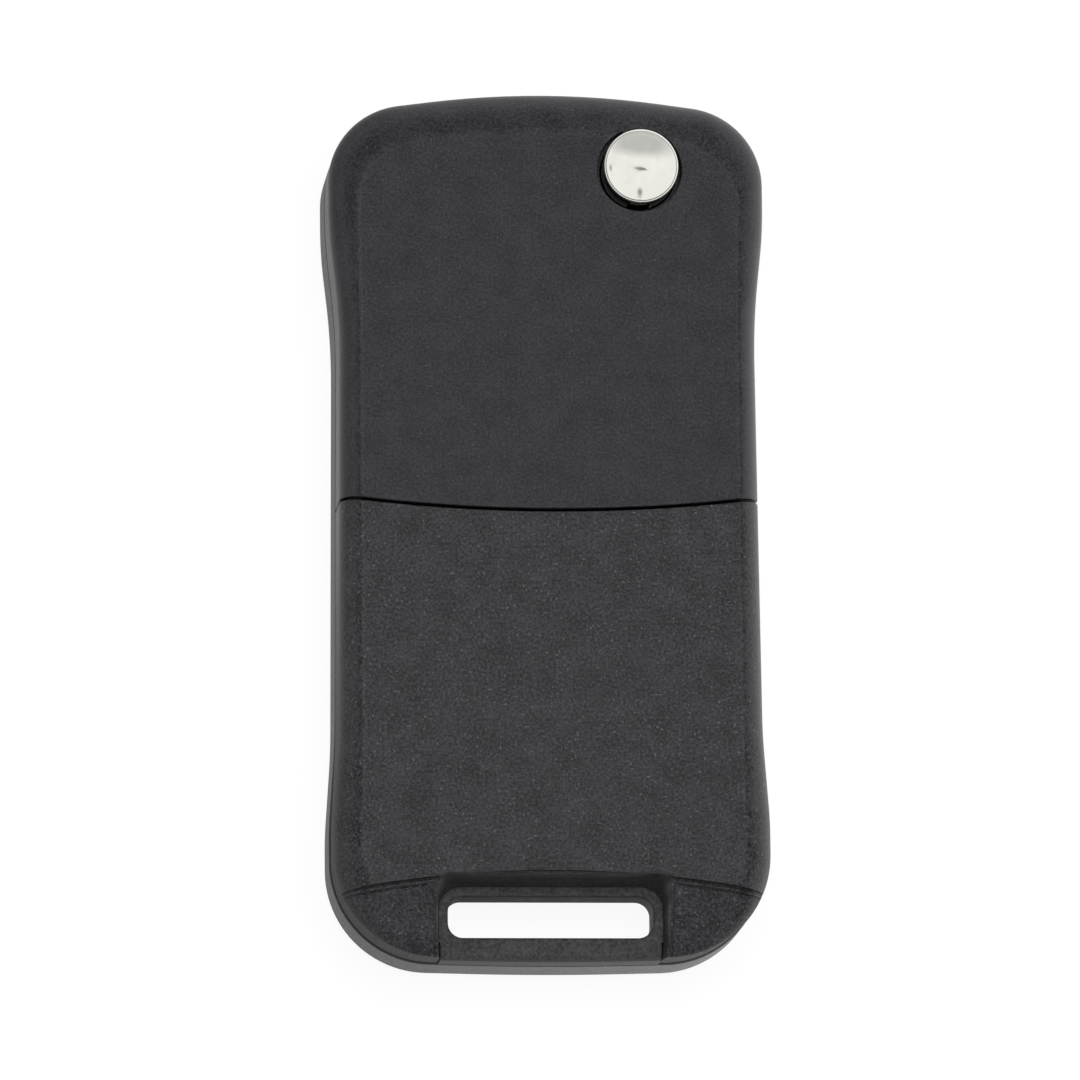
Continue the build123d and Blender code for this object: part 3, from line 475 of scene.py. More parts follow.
class NodeBench(Graph):
    """A new material's nodes, with its shader and the object's coordinates at hand."""

    def __init__(self, name: str) -> None:
        """Open a material.

        Args:
            name: Name of the material.
        """
        self.material = bpy.data.materials.new(name)
        self.material.use_nodes = True
        super().__init__(self.material.node_tree)
        self.shader = self.tree.nodes["Principled BSDF"]
        self.place = self.add("ShaderNodeTexCoord").outputs["Object"]

    def noise(self, size: float, detail: float = 2.0, stretch: Colour | None = None) -> Socket:
        """Return a noise field.

        Args:
            size: Width of its clouds in millimetres.
            detail: Octaves of finer noise.
            stretch: Scale along each axis, where it isn't even.

        Returns:
            The noise's value socket.
        """
        place = self.place
        if stretch:
            place = self.add("ShaderNodeMapping", {"Scale": stretch, "Vector": place}).outputs["Vector"]
        feeds = {"Scale": 1 / (size * MM), "Detail": detail, "Roughness": OCTAVE_SHARE, "Vector": place}
        return self.add("ShaderNodeTexNoise", feeds).outputs["Fac"]

    def sum(self, first: Socket, second: Socket, share: float) -> Socket:
        """Return the first value plus a share of the second."""
        feeds = {0: second, 1: share, 2: first}
        return self.add("ShaderNodeMath", feeds, operation="MULTIPLY_ADD").outputs["Value"]

    def blend(self, share: Socket, low: Colour | Socket, high: Colour) -> Socket:
        """Blend two colours.

        Args:
            share: Share of the second one.
            low: The first colour.
            high: The second colour.

        Returns:
            The blended colour.
        """
        first = low if isinstance(low, Socket) else (*low, 1)
        feeds = {"Factor": share, 6: first, 7: (*high, 1)}
        return self.add("ShaderNodeMix", feeds, data_type="RGBA").outputs[2]

    def colour(self, socket: Socket) -> None:
        """Drive the shader's base colour."""
        self.feed(self.shader, "Base Color", socket)

    def tinted(self, source: Socket, limits: Range, low: Colour, high: Colour) -> None:
        """Drive the shader's base colour between two colours by a value that runs between limits."""
        self.colour(self.blend(self.span(source, limits, (0, 1)), low, high))

    def roughness(self, source: Socket, low: float, high: float) -> None:
        """Drive the shader's roughness between two values by a noise field."""
        self.feed(self.shader, "Roughness", self.span(source, NOISE_SPAN, (low, high)))

    def matted(self, rough: Socket, top: float, start: float, most: float) -> Socket:
        """Return a roughness that goes up low on the wall toward the bottom end.

        Args:
            rough: The roughness elsewhere.
            top: Height in millimetres where the matt part ends.
            start: Place along the case where it begins.
            most: Roughness at the end.

        Returns:
            The roughness.
        """
        parts = self.add("ShaderNodeSeparateXYZ", {0: self.place}).outputs
        wall = self.span(parts["Z"], ((top + MATT_EDGE) * MM, (top - MATT_EDGE) * MM), (0, 1))
        end = self.span(parts["Y"], (start * MM, (start - MATT_RUN) * MM), (0, 1))
        share = self.add("ShaderNodeMath", {0: wall, 1: end}, operation="MULTIPLY")
        mix = {"Factor": share.outputs["Value"], "A": rough, "B": most}
        return self.add("ShaderNodeMix", mix).outputs["Result"]

    def relief(self, height: Socket, depth: float, strength: float = 1.0) -> None:
        """Drive the shader's normal.

        Args:
            height: A height field.
            depth: Its depth in millimetres.
            strength: Share of the effect that shows.
        """
        bump = self.add("ShaderNodeBump", {"Strength": strength, "Distance": depth * MM, "Height": height})
        self.feed(self.shader, "Normal", bump.outputs["Normal"])

    def surface(self, shader: Socket) -> None:
        """Let a shader of its own show instead of the usual one."""
        self.feed(self.tree.nodes["Material Output"], "Surface", shader)

    def fixed(self, **values: float) -> None:
        """Set sockets of the shader that stay the same all over."""
        for name, value in values.items():
            self.shader.inputs[name.replace("_", " ")].default_value = value


@dataclass(frozen=True)
class Finish:
    """A surface finish, made as a material under its own name."""

    name: str

    def wire(self, bench: NodeBench) -> None:
        """Wire the finish's nodes on a bench."""
        raise NotImplementedError

    def make(self) -> bpy.types.Material:
        """Make the finish.

        Returns:
            Its material.
        """
        bench = NodeBench(self.name)
        self.wire(bench)
        return bench.material


@dataclass(frozen=True)
class GrainedPlastic(Finish):
    """Moulded plastic with a fine spark-eroded grain and a few pale specks."""

    dark: Colour
    light: Colour
    speck: Colour
    grain: float
    depth: float
    rough: Range
    speck_from: float = 0.74
    gloss: float = 0.5
    matt: tuple[float, float, float] | None = None
    cloud: float = 2.6
    cloud_tone: float = 0.35
    cloud_gloss: float = 0.2
    tones: Range = (0.52, 0.86)
    speck_span: float = 0.12
    speck_size: float = 0.9

    def wire(self, bench: NodeBench) -> None:
        """Wire clouds of two tones, specks where a fine noise peaks, and a grained relief.

        Args:
            bench: The bench of the new material.
        """
        clouds, grain = bench.noise(self.cloud, detail=3), bench.noise(self.grain, detail=2)
        mixed = bench.span(bench.sum(grain, clouds, self.cloud_tone), self.tones, (0, 1))
        tone = bench.blend(mixed, self.dark, self.light)
        fine = bench.noise(self.grain * self.speck_size, detail=0)
        peaks = bench.span(fine, (self.speck_from, self.speck_from + self.speck_span), (0, 1))
        bench.colour(bench.blend(peaks, tone, self.speck))
        rough = bench.span(bench.sum(grain, clouds, self.cloud_gloss), NOISE_SPAN, self.rough)
        bench.feed(bench.shader, "Roughness", bench.matted(rough, *self.matt) if self.matt else rough)
        bench.relief(grain, self.depth)
        bench.fixed(Specular_IOR_Level=self.gloss)


@dataclass(frozen=True)
class SoftRubber(Finish):
    """Soft-touch rubber or silicone with a powdery sheen."""

    dark: Colour
    light: Colour
    grain: float
    rough: Range
    clearness: float = 0.0
    cloud: float = 1.8
    depth: float = 0.012
    sheen: float = 0.15

    def wire(self, bench: NodeBench) -> None:
        """Wire two close tones and a shallow grain.

        Args:
            bench: The bench of the new material.
        """
        grain = bench.noise(self.grain, detail=2)
        bench.tinted(bench.noise(self.cloud, detail=4), NOISE_SPAN, self.dark, self.light)
        bench.roughness(grain, *self.rough)
        bench.relief(grain, self.depth, strength=0.6)
        bench.fixed(Sheen_Weight=self.sheen, Sheen_Roughness=0.5, Subsurface_Weight=self.clearness)


@dataclass(frozen=True)
class PolishedPlating(Finish):
    """Bright plating with faint polishing marks and dust-fine pits."""

    light: Colour
    shade: Colour
    cloud: float = 1.6
    mark: float = 0.9
    depth: float = 0.004
    rough: Range = (0.03, 0.09)

    def wire(self, bench: NodeBench) -> None:
        """Wire a warm bright metal, slightly uneven in gloss.

        Args:
            bench: The bench of the new material.
        """
        clouds = bench.noise(self.cloud, detail=4)
        bench.tinted(clouds, (0.35, 0.75), self.light, self.shade)
        bench.roughness(clouds, *self.rough)
        bench.relief(bench.noise(self.mark, detail=2), self.depth, strength=0.35)
        bench.fixed(Metallic=1.0)


@dataclass(frozen=True)
class BrushedMetal(Finish):
    """Metal with fine lines along one axis."""

    light: Colour
    shade: Colour
    lines: Colour
    rough: Range
    depth: float = 0.006
    line: float = 0.12
    cloud: float = 3.0

    def wire(self, bench: NodeBench) -> None:
        """Wire stretched noise to tone, gloss and relief.

        Args:
            bench: The bench of the new material.
        """
        lines = bench.noise(self.line, detail=3, stretch=self.lines)
        mixed = bench.sum(lines, bench.noise(self.cloud, detail=3), 0.4)
        bench.tinted(mixed, (0.45, 0.95), self.light, self.shade)
        bench.roughness(lines, *self.rough)
        bench.relief(lines, self.depth, strength=0.5)
        bench.fixed(Metallic=1.0)


@dataclass(frozen=True)
class SatinCasting(Finish):
    """Die casting under thin satin paint, with worn spots where the metal shows."""

    paint: Colour
    worn: Colour
    patch: float = 1.1
    grain: float = 0.25
    worn_from: Range = (0.62, 0.8)
    rough: Range = (0.32, 0.52)
    depth: float = 0.01

    def wire(self, bench: NodeBench) -> None:
        """Wire dark paint, grey at the peaks of a coarse noise.

        Args:
            bench: The bench of the new material.
        """
        patches, fine = bench.noise(self.patch, detail=5), bench.noise(self.grain, detail=2)
        bench.tinted(patches, self.worn_from, self.paint, self.worn)
        bench.roughness(fine, *self.rough)
        bench.relief(bench.sum(fine, patches, 0.5), self.depth, strength=0.6)
        bench.fixed(Metallic=0.35)


@dataclass(frozen=True)
class SolderMask(Finish):
    """Circuit board: coated copper tracks and flooded areas under green varnish."""

    mask: Colour
    track: Colour
    pitch: float = 2.2
    shuffle: float = 0.55
    track_from: Range = (0.52, 0.56)
    depth: float = 0.03

    def wire(self, bench: NodeBench) -> None:
        """Wire tracks that run where a stepped cell field has its edges.

        Args:
            bench: The bench of the new material.
        """
        feeds = {"Scale": 1 / (self.pitch * MM), "Randomness": self.shuffle, "Vector": bench.place}
        cells = bench.add("ShaderNodeTexVoronoi", feeds, distance="MANHATTAN", feature="F1")
        tracks = bench.span(cells.outputs["Distance"], self.track_from, (0, 1))
        bench.colour(bench.blend(tracks, self.mask, self.track))
        bench.roughness(bench.noise(0.8, detail=3), 0.25, 0.4)
        bench.relief(tracks, self.depth, strength=0.7)
        bench.fixed(Coat_Weight=0.4, Coat_Roughness=0.2)


@dataclass(frozen=True)
class ClearGuide(Finish):
    """Clear moulded light guide, faintly milky."""

    tint: Colour
    pale: Colour = (0.95, 0.96, 0.97)
    cloud: float = 0.7

    def wire(self, bench: NodeBench) -> None:
        """Wire translucent plastic with flow marks in its gloss.

        Args:
            bench: The bench of the new material.
        """
        clouds = bench.noise(self.cloud, detail=3)
        bench.colour(bench.blend(clouds, self.tint, self.pale))
        bench.roughness(clouds, 0.08, 0.2)
        bench.fixed(Transmission_Weight=0.6, IOR=1.49)


@dataclass(frozen=True)
class SignPrint(Finish):
    """Screen-printed ink with a slightly uneven edge of tone."""

    ink: Colour
    thin: Colour
    grain: float = 0.15

    def wire(self, bench: NodeBench) -> None:
        """Wire matt ink, thinner where the rubber's grain shows through.

        Args:
            bench: The bench of the new material.
        """
        grain = bench.noise(self.grain, detail=3)
        bench.tinted(grain, (0.45, 0.7), self.ink, self.thin)
        bench.roughness(grain, 0.5, 0.7)


FINISHES = {finish.name: finish for finish in (
    GrainedPlastic(
        "case_black", dark=(0.003, 0.0025, 0.006), light=(0.034, 0.0332, 0.038), speck=(0.07, 0.07, 0.075),
        grain=0.22, depth=0.02, rough=(0.3, 0.46)
    ),
    GrainedPlastic(
        "front_black", dark=(0.003, 0.003, 0.004), light=(0.038, 0.038, 0.041), speck=(0.09, 0.09, 0.095),
        grain=0.26, depth=0.05, rough=(0.32, 0.5)
    ),
    GrainedPlastic(
        "cover_black", dark=(0.0, 0.0, 0.001), light=(0.046, 0.046, 0.05), speck=(0.11, 0.11, 0.115),
        grain=0.24, depth=0.036, rough=(0.3, 0.46), speck_from=0.71, matt=(13.0, 0.0, 0.72)
    ),
    GrainedPlastic(
        "bar_black", dark=(0.018, 0.018, 0.019), light=(0.07, 0.07, 0.073), speck=(0.07, 0.07, 0.07),
        grain=0.26, depth=0.02, rough=(0.5, 0.7)
    ),
    GrainedPlastic(
        "inner_black", dark=(0.01, 0.01, 0.011), light=(0.018, 0.018, 0.019), speck=(0.03, 0.03, 0.03),
        grain=0.3, depth=0.01, rough=(0.35, 0.5)
    ),
    GrainedPlastic(
        "chip_black", dark=(0.008, 0.008, 0.009), light=(0.014, 0.014, 0.015), speck=(0.03, 0.03, 0.03),
        grain=0.1, depth=0.01, rough=(0.45, 0.6)
    ),
    SoftRubber(
        "button_rubber", dark=(0.02, 0.02, 0.0215), light=(0.028, 0.028, 0.03), grain=0.12,
        rough=(0.55, 0.75)
    ),
    SoftRubber(
        "silicone", dark=(0.2, 0.215, 0.225), light=(0.3, 0.315, 0.325), grain=0.25, rough=(0.35, 0.5),
        clearness=0.2
    ),
    PolishedPlating("button_chrome", light=(0.86, 0.855, 0.8), shade=(0.78, 0.775, 0.72)),
    BrushedMetal(
        "blade_steel", light=(0.6, 0.59, 0.57), shade=(0.46, 0.455, 0.44), lines=(1.0, 0.06, 1.0),
        rough=(0.2, 0.36)
    ),
    BrushedMetal(
        "spring_steel", light=(0.5, 0.5, 0.5), shade=(0.36, 0.36, 0.37), lines=(1.0, 1.0, 0.1),
        rough=(0.22, 0.38)
    ),
    BrushedMetal(
        "can_metal", light=(0.66, 0.65, 0.62), shade=(0.5, 0.49, 0.47), lines=(0.08, 1.0, 1.0),
        rough=(0.24, 0.4)
    ),
    BrushedMetal(
        "cell_steel", light=(0.68, 0.68, 0.67), shade=(0.54, 0.54, 0.54), lines=(0.1, 1.0, 1.0),
        rough=(0.18, 0.32)
    ),
    BrushedMetal(
        "copper", light=(0.72, 0.38, 0.2), shade=(0.5, 0.24, 0.12), lines=(0.3, 0.3, 1.0),
        rough=(0.25, 0.42)
    ),
    SatinCasting("hub_metal", paint=(0.03, 0.03, 0.033), worn=(0.16, 0.16, 0.165)),
    SolderMask("board_green", mask=(0.006, 0.05, 0.02), track=(0.014, 0.095, 0.042)),
    ClearGuide("lamp_clear", tint=(0.85, 0.88, 0.9)),
    SignPrint("sign_print", ink=(0.62, 0.62, 0.62), thin=(0.42, 0.42, 0.43)),
)}


class Wardrobe:
    """Makes each finish once and puts it on pieces."""

    def __init__(self) -> None:
        """Start with no finish made."""
        self.made: dict[str, bpy.types.Material] = {}

    def finish(self, name: str) -> bpy.types.Material:
        """Make a finish, or take it where it is made already.

        Args:
            name: Name of the finish.

        Returns:
            Its material.
        """
        if name not in self.made:
            self.made[name] = FINISHES[name].make()
        return self.made[name]

    def dress(
        self, thing: bpy.types.Object, finish: str, body: str, stands_for: tuple[str, ...] = ()
    ) -> bpy.types.Object:
        """Give a piece its finish and its body, and hide the nodes that it stands for.

        Args:
            thing: The piece.
            finish: Name of the finish.
            body: Body that it rides on.
            stands_for: Nodes that it hides.

        Returns:
            The same piece.
        """
        thing.data.materials.clear()
        thing.data.materials.append(self.finish(finish))
        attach(thing, body)
        if stands_for:
            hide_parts(*stands_for)
        LOG.info("%s: %d faces, %s on %s", thing.name, len(thing.data.polygons), finish, body)
        return thing

    def carry_over(self, node: str, finish: str) -> None:
        """Give a node of the frame a finish, and leave its mesh alone.

        Args:
            node: Name of the node.
            finish: Name of the finish.
        """
        thing = frame["nodes"][node]
        for slot in thing.material_slots:
            slot.link = "OBJECT"
            slot.material = self.finish(finish)
        LOG.info("%s: kept, %s", node, finish)


# Case


@dataclass(frozen=True)
class Plan:
    """Hourglass plan shape, alike on both sides of the centre line."""

    top_flare: float
    upper_waist: float
    lower_waist: float
    bottom_flare: float
    top_y: float
    bottom_y: float
    top_corner: float
    bottom_corner: float
    top_slope: float = 7.5
    bottom_slope: float = 1.4
    top_arch: float = 77.0
    bottom_arch: float = 280.0
    top_flare_y: float = 26.0
    upper_waist_y: float = 17.9
    lower_waist_y: float = -18.5
    bottom_flare_y: float = -26.0
    flare_radius: float = 40.0
    waist_radius: float = 60.0

    def toward(self, other: "Plan", share: float) -> "Plan":
        """Return the plan between this one and another."""
        pairs = [(getattr(self, f.name), getattr(other, f.name)) for f in fields(self)]
        return Plan(*[a + (b - a) * share for a, b in pairs])

    def inset(self, wall: float) -> "Plan":
        """Return the plan inside this one by a wall."""
        shrink = np.array([1, 1, 1, 1, 1, -1, 1, 1]) * wall
        return Plan(*[getattr(self, f.name) - float(step) for f, step in zip(fields(self), shrink)])

    def loop(self) -> np.ndarray:
        """Plan points: arched ends, round corners and soft flares.

        Returns:
            Points of shape (points, 2).
        """
        top_slope, bottom_slope = math.radians(self.top_slope), math.radians(self.bottom_slope)
        top_peak = self.top_y + self.top_arch * (1 / math.cos(top_slope) - 1)
        bottom_peak = self.bottom_y - self.bottom_arch * (1 / math.cos(bottom_slope) - 1)
        side = np.array([
            [self.bottom_flare, bottom_peak + self.bottom_flare * math.tan(bottom_slope), self.bottom_corner],
            [self.bottom_flare, self.bottom_flare_y, self.flare_radius],
            [self.lower_waist, self.lower_waist_y, self.waist_radius],
            [self.upper_waist, self.upper_waist_y, self.waist_radius],
            [self.top_flare, self.top_flare_y, self.flare_radius],
            [self.top_flare, top_peak - self.top_flare * math.tan(top_slope), self.top_corner],
        ])
        left = side[::-1] * np.array([-1, 1, 1])
        ends = [[[0, bottom_peak, self.bottom_arch]], side, [[0, top_peak, self.top_arch]], left]
        return rounded_loop(np.concatenate(ends), [10, 24, 7, 7, 7, 7, 22, 12, 22, 7, 7, 7, 7, 24])


@dataclass(frozen=True)
class CaseShape:
    """Sizes that the case's pieces share, and the solids made from them."""

    outline: Plan = Plan(19.0, 18.1, 18.4, 18.95, 38.0, -38.0, 7.0, 8.9)
    panel: Plan = Plan(16.6, 16.5, 16.5, 16.6, 34.2, -35.4, 5.6, 7.0)
    wall: float = 1.4
    front_top: float = 7.4
    back_start: float = 7.5
    shoulder_z: float = 12.6
    panel_z: float = 15.6
    ceiling_z: float = 14.2
    shoulder_sweep: float = 62.0
    edge: float = 0.28
    draft: float = 0.14
    seam_lip: float = 0.14
    seam_y: float = 0.75
    seam_radius: float = 145.0
    seam_gap: float = 0.25
    pivot: Spot = (8.0, 30.9)
    hub_clear: float = 5.9
    slot_low: float = 5.6
    slot_high: float = 9.2
    slot_end: float = -28.5
    web_low: float = 6.8
    web_high: float = 10.8
    recess_half: float = 9.7
    recess_end: float = -31.55
    recess_corner: float = 2.0
    rim_corner: float = 1.2
    recess_draft: float = 7.5
    step_y: float = -30.7
    step_radius: float = 97.0
    step_depth: float = 0.35
    pad_slope: float = 21.0
    front_bar: float = 1.7
    lip: float = 0.3
    part_from: float = -14.0
    part_over: float = 14.0
    sweep_part: float = 0.95
    crease: float = 0.3
    hollow_bevel: float = 2.2
    hollow_bevel_z: float = 11.4
    seam_slack: float = 0.004
    groove_depth: float = 0.7
    slot_side: float = 0.9
    slot_back: float = 9.5
    slot_over: float = 0.4
    dowels: tuple[Spot, ...] = ((-9.0, 33.4), (0.2, 24.9))

    def parted(self, large: float) -> np.ndarray:
        """Outline set in by a step toward the bottom end and by a fifth of it elsewhere.

        Below the start y0 the share goes up as a smooth step, t^2 (3 - 2 t) with t = (y0 - y) / length.

        Args:
            large: The step at the bottom end.

        Returns:
            The loop.
        """
        loop, low = self.outline.inset(large / 5).loop(), self.outline.inset(large).loop()
        t = np.clip((self.part_from - loop[:, 1]) / self.part_over, 0, 1)[:, None]
        return loop + t**2 * (3 - 2 * t) * (low - loop)

    def shoulder(self, drop: float, outset: float = 0.0) -> tuple[list[np.ndarray], list[float]]:
        """Loops and heights from the wall's top to the panel.

        At sweep angle a the plan has gone (1 - cos a) / (1 - cos s) of the way to the panel, and the
        height sin a / sin s of the rise. The crease is a short parabola between shoulder and panel.

        Args:
            drop: How far the wall's top lies under its usual height.
            outset: How far the outline is let out.

        Returns:
            The loops and their heights.
        """
        start = self.outline.inset(-outset)
        sweep = math.radians(self.shoulder_sweep)
        angle = np.linspace(0, sweep * self.sweep_part, 20)
        share = (1 - np.cos(angle)) / (1 - math.cos(sweep))
        rise = self.panel_z - self.shoulder_z
        height = self.shoulder_z - drop + rise * np.sin(angle) / math.sin(sweep)
        loops = [start.toward(self.panel, s).loop() for s in share]
        crease, inner = self.panel.loop(), self.panel.inset(self.crease).loop()
        edge, edge_z, crease_z = loops[-1], height[-1], self.panel_z - drop
        for t in np.linspace(0, 1, 6)[1:]:
            loops.append((1 - t) ** 2 * edge + 2 * t * (1 - t) * crease + t**2 * inner)
            height = np.append(height, (1 - t) ** 2 * edge_z + (1 - (1 - t) ** 2) * crease_z)
        return loops, height.tolist()

    def upper_body(self, drop: float = 0.0, outset: float = 0.0) -> Solid:
        """Solid back half: a softened lower edge, then a wall that drafts out to the shoulder.

        Args:
            drop: How far its top lies under the usual height.
            outset: How far its outline is let out.

        Returns:
            The solid.
        """
        inset, rise = quarter(self.edge, 4)
        if outset:
            loops = [self.outline.inset(self.draft + step - outset).loop() for step in inset]
        else:
            loops = [self.parted(self.draft + step) for step in inset]
        heights = (self.back_start + rise).tolist()
        upper_loops, upper_heights = self.shoulder(drop, outset)
        return rising(loops + upper_loops, heights + upper_heights)

    def upper_cavity(self) -> Solid:
        """Hollow of the back half, bevelled under the shoulder.

        Returns:
            The solid.
        """
        inner = self.outline.inset(self.wall)
        loops = [inner.loop(), inner.loop(), inner.inset(self.hollow_bevel).loop()]
        return rising(loops, [self.back_start - 1, self.hollow_bevel_z, self.ceiling_z])

    def seam_line(self, x: np.ndarray) -> np.ndarray:
        """Plan line of the seam: y = y0 + R - sqrt(R^2 - x^2)."""
        return self.seam_y + self.seam_radius - np.sqrt(self.seam_radius**2 - x**2)

    def beside_seam(self, side: int) -> Solid:
        """All that lies on one side of the seam, just over half its gap away.

        Args:
            side: 1 toward the release button, -1 toward the key ring.

        Returns:
            The solid.
        """
        x = np.linspace(-30, 30, 61) * side
        line = np.column_stack([x, self.seam_line(x) + side * (self.seam_gap / 2 + self.seam_slack)])
        far = np.array([[30.0 * side, FAR * side], [-30.0 * side, FAR * side]])
        return prism(np.concatenate([line, far]), -5, 30)

    def seam_groove(self) -> Solid:
        """Groove with soft lips, carried up the wall, over the shoulder and across the panel.

        Returns:
            The tool.
        """
        loops, heights = self.shoulder(0.0)
        rise = np.array([self.back_start - 1.5, *heights])
        reach = [self.reach_at_seam(loop) for loop in loops]
        half = np.array([reach[0], *reach])
        middle = np.linspace(half[-1], -half[-1], 41)[1:-1]
        x = np.concatenate([half, middle, -half[::-1]])
        z = np.concatenate([rise, np.full(len(middle), self.panel_z), rise[::-1]])
        along = unit_steps(np.column_stack([x, z]))
        down = np.column_stack([-along[:, 1], np.zeros(len(x)), along[:, 0]])
        across = np.broadcast_to(np.array([0.0, 1.0, 0.0]), down.shape)
        path = np.column_stack([x, self.seam_line(x), z])
        return carried(path, across, down, self.lips(self.seam_gap / 2))

    def lips(self, half: float) -> np.ndarray:
        """Section of a groove of a half width with round lips.

        Args:
            half: The half width.

        Returns:
            Points of shape (points, 2): across the groove and down.
        """
        inset, rise = quarter(self.seam_lip, 5)
        lip = np.column_stack([half + inset, rise])
        right = np.concatenate([[[half + self.seam_lip, -OVER]], lip, [[half - 0.02, self.groove_depth]]])
        return np.concatenate([right, right[::-1] * np.array([-1, 1])])

    def reach_at_seam(self, loop: np.ndarray) -> float:
        """Half width of a loop at the seam.

        Args:
            loop: The loop.

        Returns:
            The half width.
        """
        right = loop[loop[:, 0] > 0]
        order = np.argsort(right[:, 1])
        return float(np.interp(self.seam_y, right[order, 1], right[order, 0]))

    def blade_slot(self) -> Carving:
        """Space that the hub and the blade sweep: beside the pivot, through the top end and round the hub.

        Returns:
            The tool.
        """
        x, y = self.pivot
        height = (self.slot_low, self.slot_high)
        slot = Carving("slot", block((x + self.slot_side, FAR), (self.slot_end, y), height))
        slot.join(block((x - self.slot_back, FAR + 1), (y - self.slot_over, FAR), height))
        return slot.join(rod(self.hub_clear, *height, self.pivot))

    def slot_lips(self) -> Carving:
        """Bevel where the blade's slot comes out of the case, at 45 degrees on both sides.

        Returns:
            The tool.
        """
        beyond = 1.0
        spread = self.lip + beyond
        inner, outer = self.outline.inset(self.lip).loop(), self.outline.inset(-beyond).loop()
        levels = [self.slot_low, self.slot_low - spread, self.slot_high + spread, self.slot_high]
        bevel = rising([inner, outer, outer, inner], levels, closed=True)
        x, y = self.pivot
        side = Carving("side", block((x + self.slot_side, FAR), (self.slot_end, y + 1), (0, 16)))
        side.join(block((x - self.slot_back, FAR + 1), (y, FAR), (0, 17)))
        return Carving("slot_lips", bevel).keep(side)

    @property
    def recess_slope(self) -> float:
        """How far the recess's walls go out per height."""
        return math.tan(math.radians(self.recess_draft))

    def notch(self, out: float, corner: float, steps: int) -> np.ndarray:
        """Plan loop of the recess, which goes on past the case's end.

        Args:
            out: How far it is let out.
            corner: Radius of its two corners.
            steps: Spans of each corner's arc.

        Returns:
            The loop.
        """
        half, top = self.recess_half + out, self.recess_end + out
        corners = np.array([[-half, -FAR, 0], [half, -FAR, 0], [half, top, corner], [-half, top, corner]])
        return rounded_loop(corners, [0, 0, steps, steps])

    def front_recess(self, grow: float) -> Carving:
        """Hollow under the key-ring web, drafted toward the button face, let out by a wall.

        Args:
            grow: The wall, or 0 for the hollow itself.

        Returns:
            The tool.
        """
        overlap = 0.001
        heights = [-1.0 - grow, self.web_low + overlap]
        outs = [grow + (self.web_low - height) * self.recess_slope for height in heights]
        loops = [self.notch(out, self.recess_corner + out, 10) for out in outs]
        low = self.outline.bottom_y + self.front_bar - grow
        return Carving("front_recess", rising(loops, heights)).keep(block((-FAR, FAR), (low, FAR), (-10, 10)))

    def recess(self, grow: float, start: float) -> Solid:
        """Drafted key-ring recess from a height upward, let out by a wall where one is given.

        Args:
            grow: The wall, or 0 for the recess itself.
            start: The height.

        Returns:
            The tool.
        """
        heights = [start, self.panel_z + 1]
        loops = []
        for height in heights:
            out = grow + (height - self.web_high) * self.recess_slope
            share = (height - self.web_high) / (self.panel_z - self.web_high)
            corner = self.recess_corner + (self.rim_corner - self.recess_corner) * share + grow
            loops.append(self.notch(out, corner, 12))
        return rising(loops, heights)

    def pad_level(self, y: np.ndarray) -> np.ndarray:
        """Height of the sloping pads: level above the step, then down at the pads' slope."""
        run = np.maximum(self.step_y - y, 0)
        return self.panel_z - self.step_depth - math.tan(math.radians(self.pad_slope)) * run

    def pad_disc(self, inset: float = 0.0) -> np.ndarray:
        """Plan loop of the round edge that both steps lie on, drawn in by a distance.

        Args:
            inset: The distance.

        Returns:
            The loop.
        """
        angle = np.linspace(0, 2 * np.pi, 720, endpoint=False)
        round_edge = np.column_stack([np.cos(angle), np.sin(angle)]) * (self.step_radius - inset)
        return round_edge + [0, self.step_y - self.step_radius]


def straight_flare(x: float, y: float, radius: float, low: float, high: float, lip: float) -> Solid:
    """Round hole up to a height, whose lip opens by a radius there and goes on above it.

    Args:
        x: Place of the hole along X.
        y: Place of the hole along Y.
        radius: Its radius.
        low: Height where it starts.
        high: Height of its lip.
        lip: Radius of the lip.

    Returns:
        The tool.
    """
    inset, rise = quarter(lip, 5)
    rim = np.column_stack([radius + inset[::-1], high - rise[::-1]])
    profile = np.concatenate([[[radius, low]], rim, [[radius + lip, high + 6]]])
    return lathe(profile, (x, y))


def lipped(outset: Callable[[float], np.ndarray], low: float, high: float, lip: float) -> Solid:
    """Opening through a wall, its two mouths opened by quarter rounds.

    Args:
        outset: Gives the opening's plan loop, let out by a distance.
        low: Height of the lower face of the wall.
        high: Height of its upper face.
        lip: Radius of both mouths.

    Returns:
        The tool, which goes on past both faces.
    """
    out, rise = quarter(lip, 5)
    grow = np.concatenate([[lip], out, out[::-1], [lip]])
    height = np.concatenate([[low - 2], low + rise, high - rise[::-1], [high + 2]])
    return rising([outset(step) for step in grow], height.tolist())


def post(x: float, y: float, low: float, high: float, width: float) -> Solid:
    """Square upright post."""
    half = width / 2
    return block((x - half, x + half), (y - half, y + half), (low, high))


